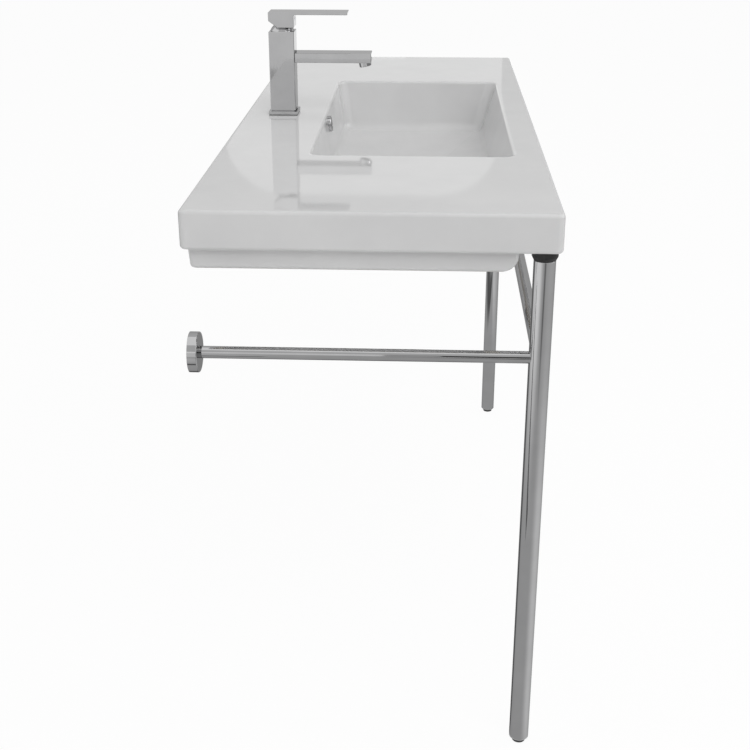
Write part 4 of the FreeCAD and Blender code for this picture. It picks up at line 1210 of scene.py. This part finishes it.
def makeCard(name, grey, points, closed=False):
    # A card that only polished surfaces see: its grey glows as a painted reflection, though it is no lamp;
    # grey is one value or one for each point.
    rows, cols = points.shape[:2]
    faces = gridFaces(rows, cols, False)
    if not closed:
        faces = [face for face in faces if max(face) - min(face) == cols + 1]
    mesh = bpy.data.meshes.new(name)
    mesh.from_pydata(points.reshape(-1, 3).tolist(), [], faces)
    shade = mesh.attributes.new("shade", "FLOAT", "POINT")
    shade.data.foreach_set("value", np.broadcast_to(grey, (rows, cols)).astype(np.float32).ravel())
    card = addObject(name, mesh)
    paint, tree = startFinish(name, {})[:2]
    glow = tree.nodes.new("ShaderNodeEmission")
    read = tree.nodes.new("ShaderNodeAttribute")
    read.attribute_name = "shade"
    tree.links.new(read.outputs["Fac"], glow.inputs["Strength"])
    tree.links.new(glow.outputs["Emission"], tree.nodes["Material Output"].inputs["Surface"])
    mesh.materials.append(paint)
    card.visible_camera = card.visible_diffuse = card.visible_shadow = card.visible_transmission = False


def flatCard(x, y, z):
    # Two of the three are (low, high) spans, the third is the level that the card lies at.
    spans = np.array(np.meshgrid(x, y, z, indexing="ij")).reshape(3, -1).T
    return spans.reshape(2, 2, 3)


def rise(value, low, high):
    # Smooth step from 0 at low to 1 at high.
    share = np.clip((value - low) / (high - low), 0, 1)
    return share * share * (3 - 2 * share)


def makeFloorShade():
    # Polar grid on the floor: x = leg - r cos b, y = leg - r sin b, glowing as a painted reflection with
    # painted shade in it.
    #     The grey rises with distance towards the wall's side, is lighter close by at the front, and dips
    #     towards the camera and behind the leg, where dark streaks are painted into the chrome.
    look = floorShade
    leg, level = middleOf("leg_left"), cadBox[0][2] + look["lift"]
    reach = np.geomspace(*look["reach"], 70)[:, None]
    bearing = np.linspace(-180, 180, 181)[None, :]
    x = leg[0] - reach * np.cos(np.radians(bearing))
    y = leg[1] - reach * np.sin(np.radians(bearing))
    wallSide = rise(-bearing, *look["wallFrom"]) * rise(180 + bearing, *look["wallTo"])
    wallSide = wallSide * rise(reach, *look["wallReach"])
    front = rise(bearing, *look["frontFrom"]) * rise(180 - bearing, *look["frontTo"])
    front = front * (1 - look["frontFade"] * rise(reach, *look["frontReach"]))
    band = np.exp(-((bearing - look["bandBearing"]) / look["bandWidth"]) ** 2)
    band = band * rise(reach, *look["bandReach"])
    behind = rise(-bearing, *look["behindFrom"]) * rise(180 + bearing, *look["behindTo"])
    grey = look["near"] + look["wallSide"] * wallSide + look["front"] * front + look["cameraBand"] * band
    grey = grey + look["behind"] * behind
    makeCard("floorShade", grey, np.stack([x, y, level + 0 * x], axis=-1))
    # A dark line on the floor card: a painted dark streak for the chrome to reflect.
    makeCard("floorLine", look["line"], flatCard(look["lineX"], look["lineY"], level + look["lineLift"]))


def makeCards():
    makeFloorShade()
    for name, (grey, x, y, z) in standingCards.items():
        makeCard(name, grey, flatCard(x, y, z))
    # The far card, a painted reflection of a grey wall, has a rounded window where the brighter inWindow card
    # paints a reflected window of light: one outline at the window's edge, one out at the card's.
    y0, y1, z0, z1 = farWall["window"]
    grow = np.array([0, farWall["reach"]])
    rings = levelRings(y0 - grow, y1 + grow, z0, z1 + grow, farWall["radius"], farWall["x"])
    makeCard("farWall", farWall["grey"], rings[..., [2, 0, 1]], closed=True)


makeWorld()
makeFloor()
makeLamps()
makeCards()
scene.view_settings.view_transform = "Standard"
print("studio done")


# Camera

cameraView = {"place": (-2.0608, -0.3046, 0.4357), "yaw": 0.044, "pitch": 0.4007, "lens": 59.68,
              "sensor": 36.0, "clipEnd": 50}


def makeCamera():
    view = bpy.data.cameras.new("photoCamera")
    view.lens = cameraView["lens"]
    view.sensor_width = cameraView["sensor"]
    view.clip_end = cameraView["clipEnd"]
    holder = addObject("photoCamera", view)
    yaw, pitch = cameraView["yaw"], cameraView["pitch"]
    ahead = Vector((math.cos(pitch) * math.cos(yaw), math.cos(pitch) * math.sin(yaw), -math.sin(pitch)))
    aimObject(holder, cameraView["place"], ahead)
    scene.camera = holder


makeCamera()
bpy.context.view_layer.update()
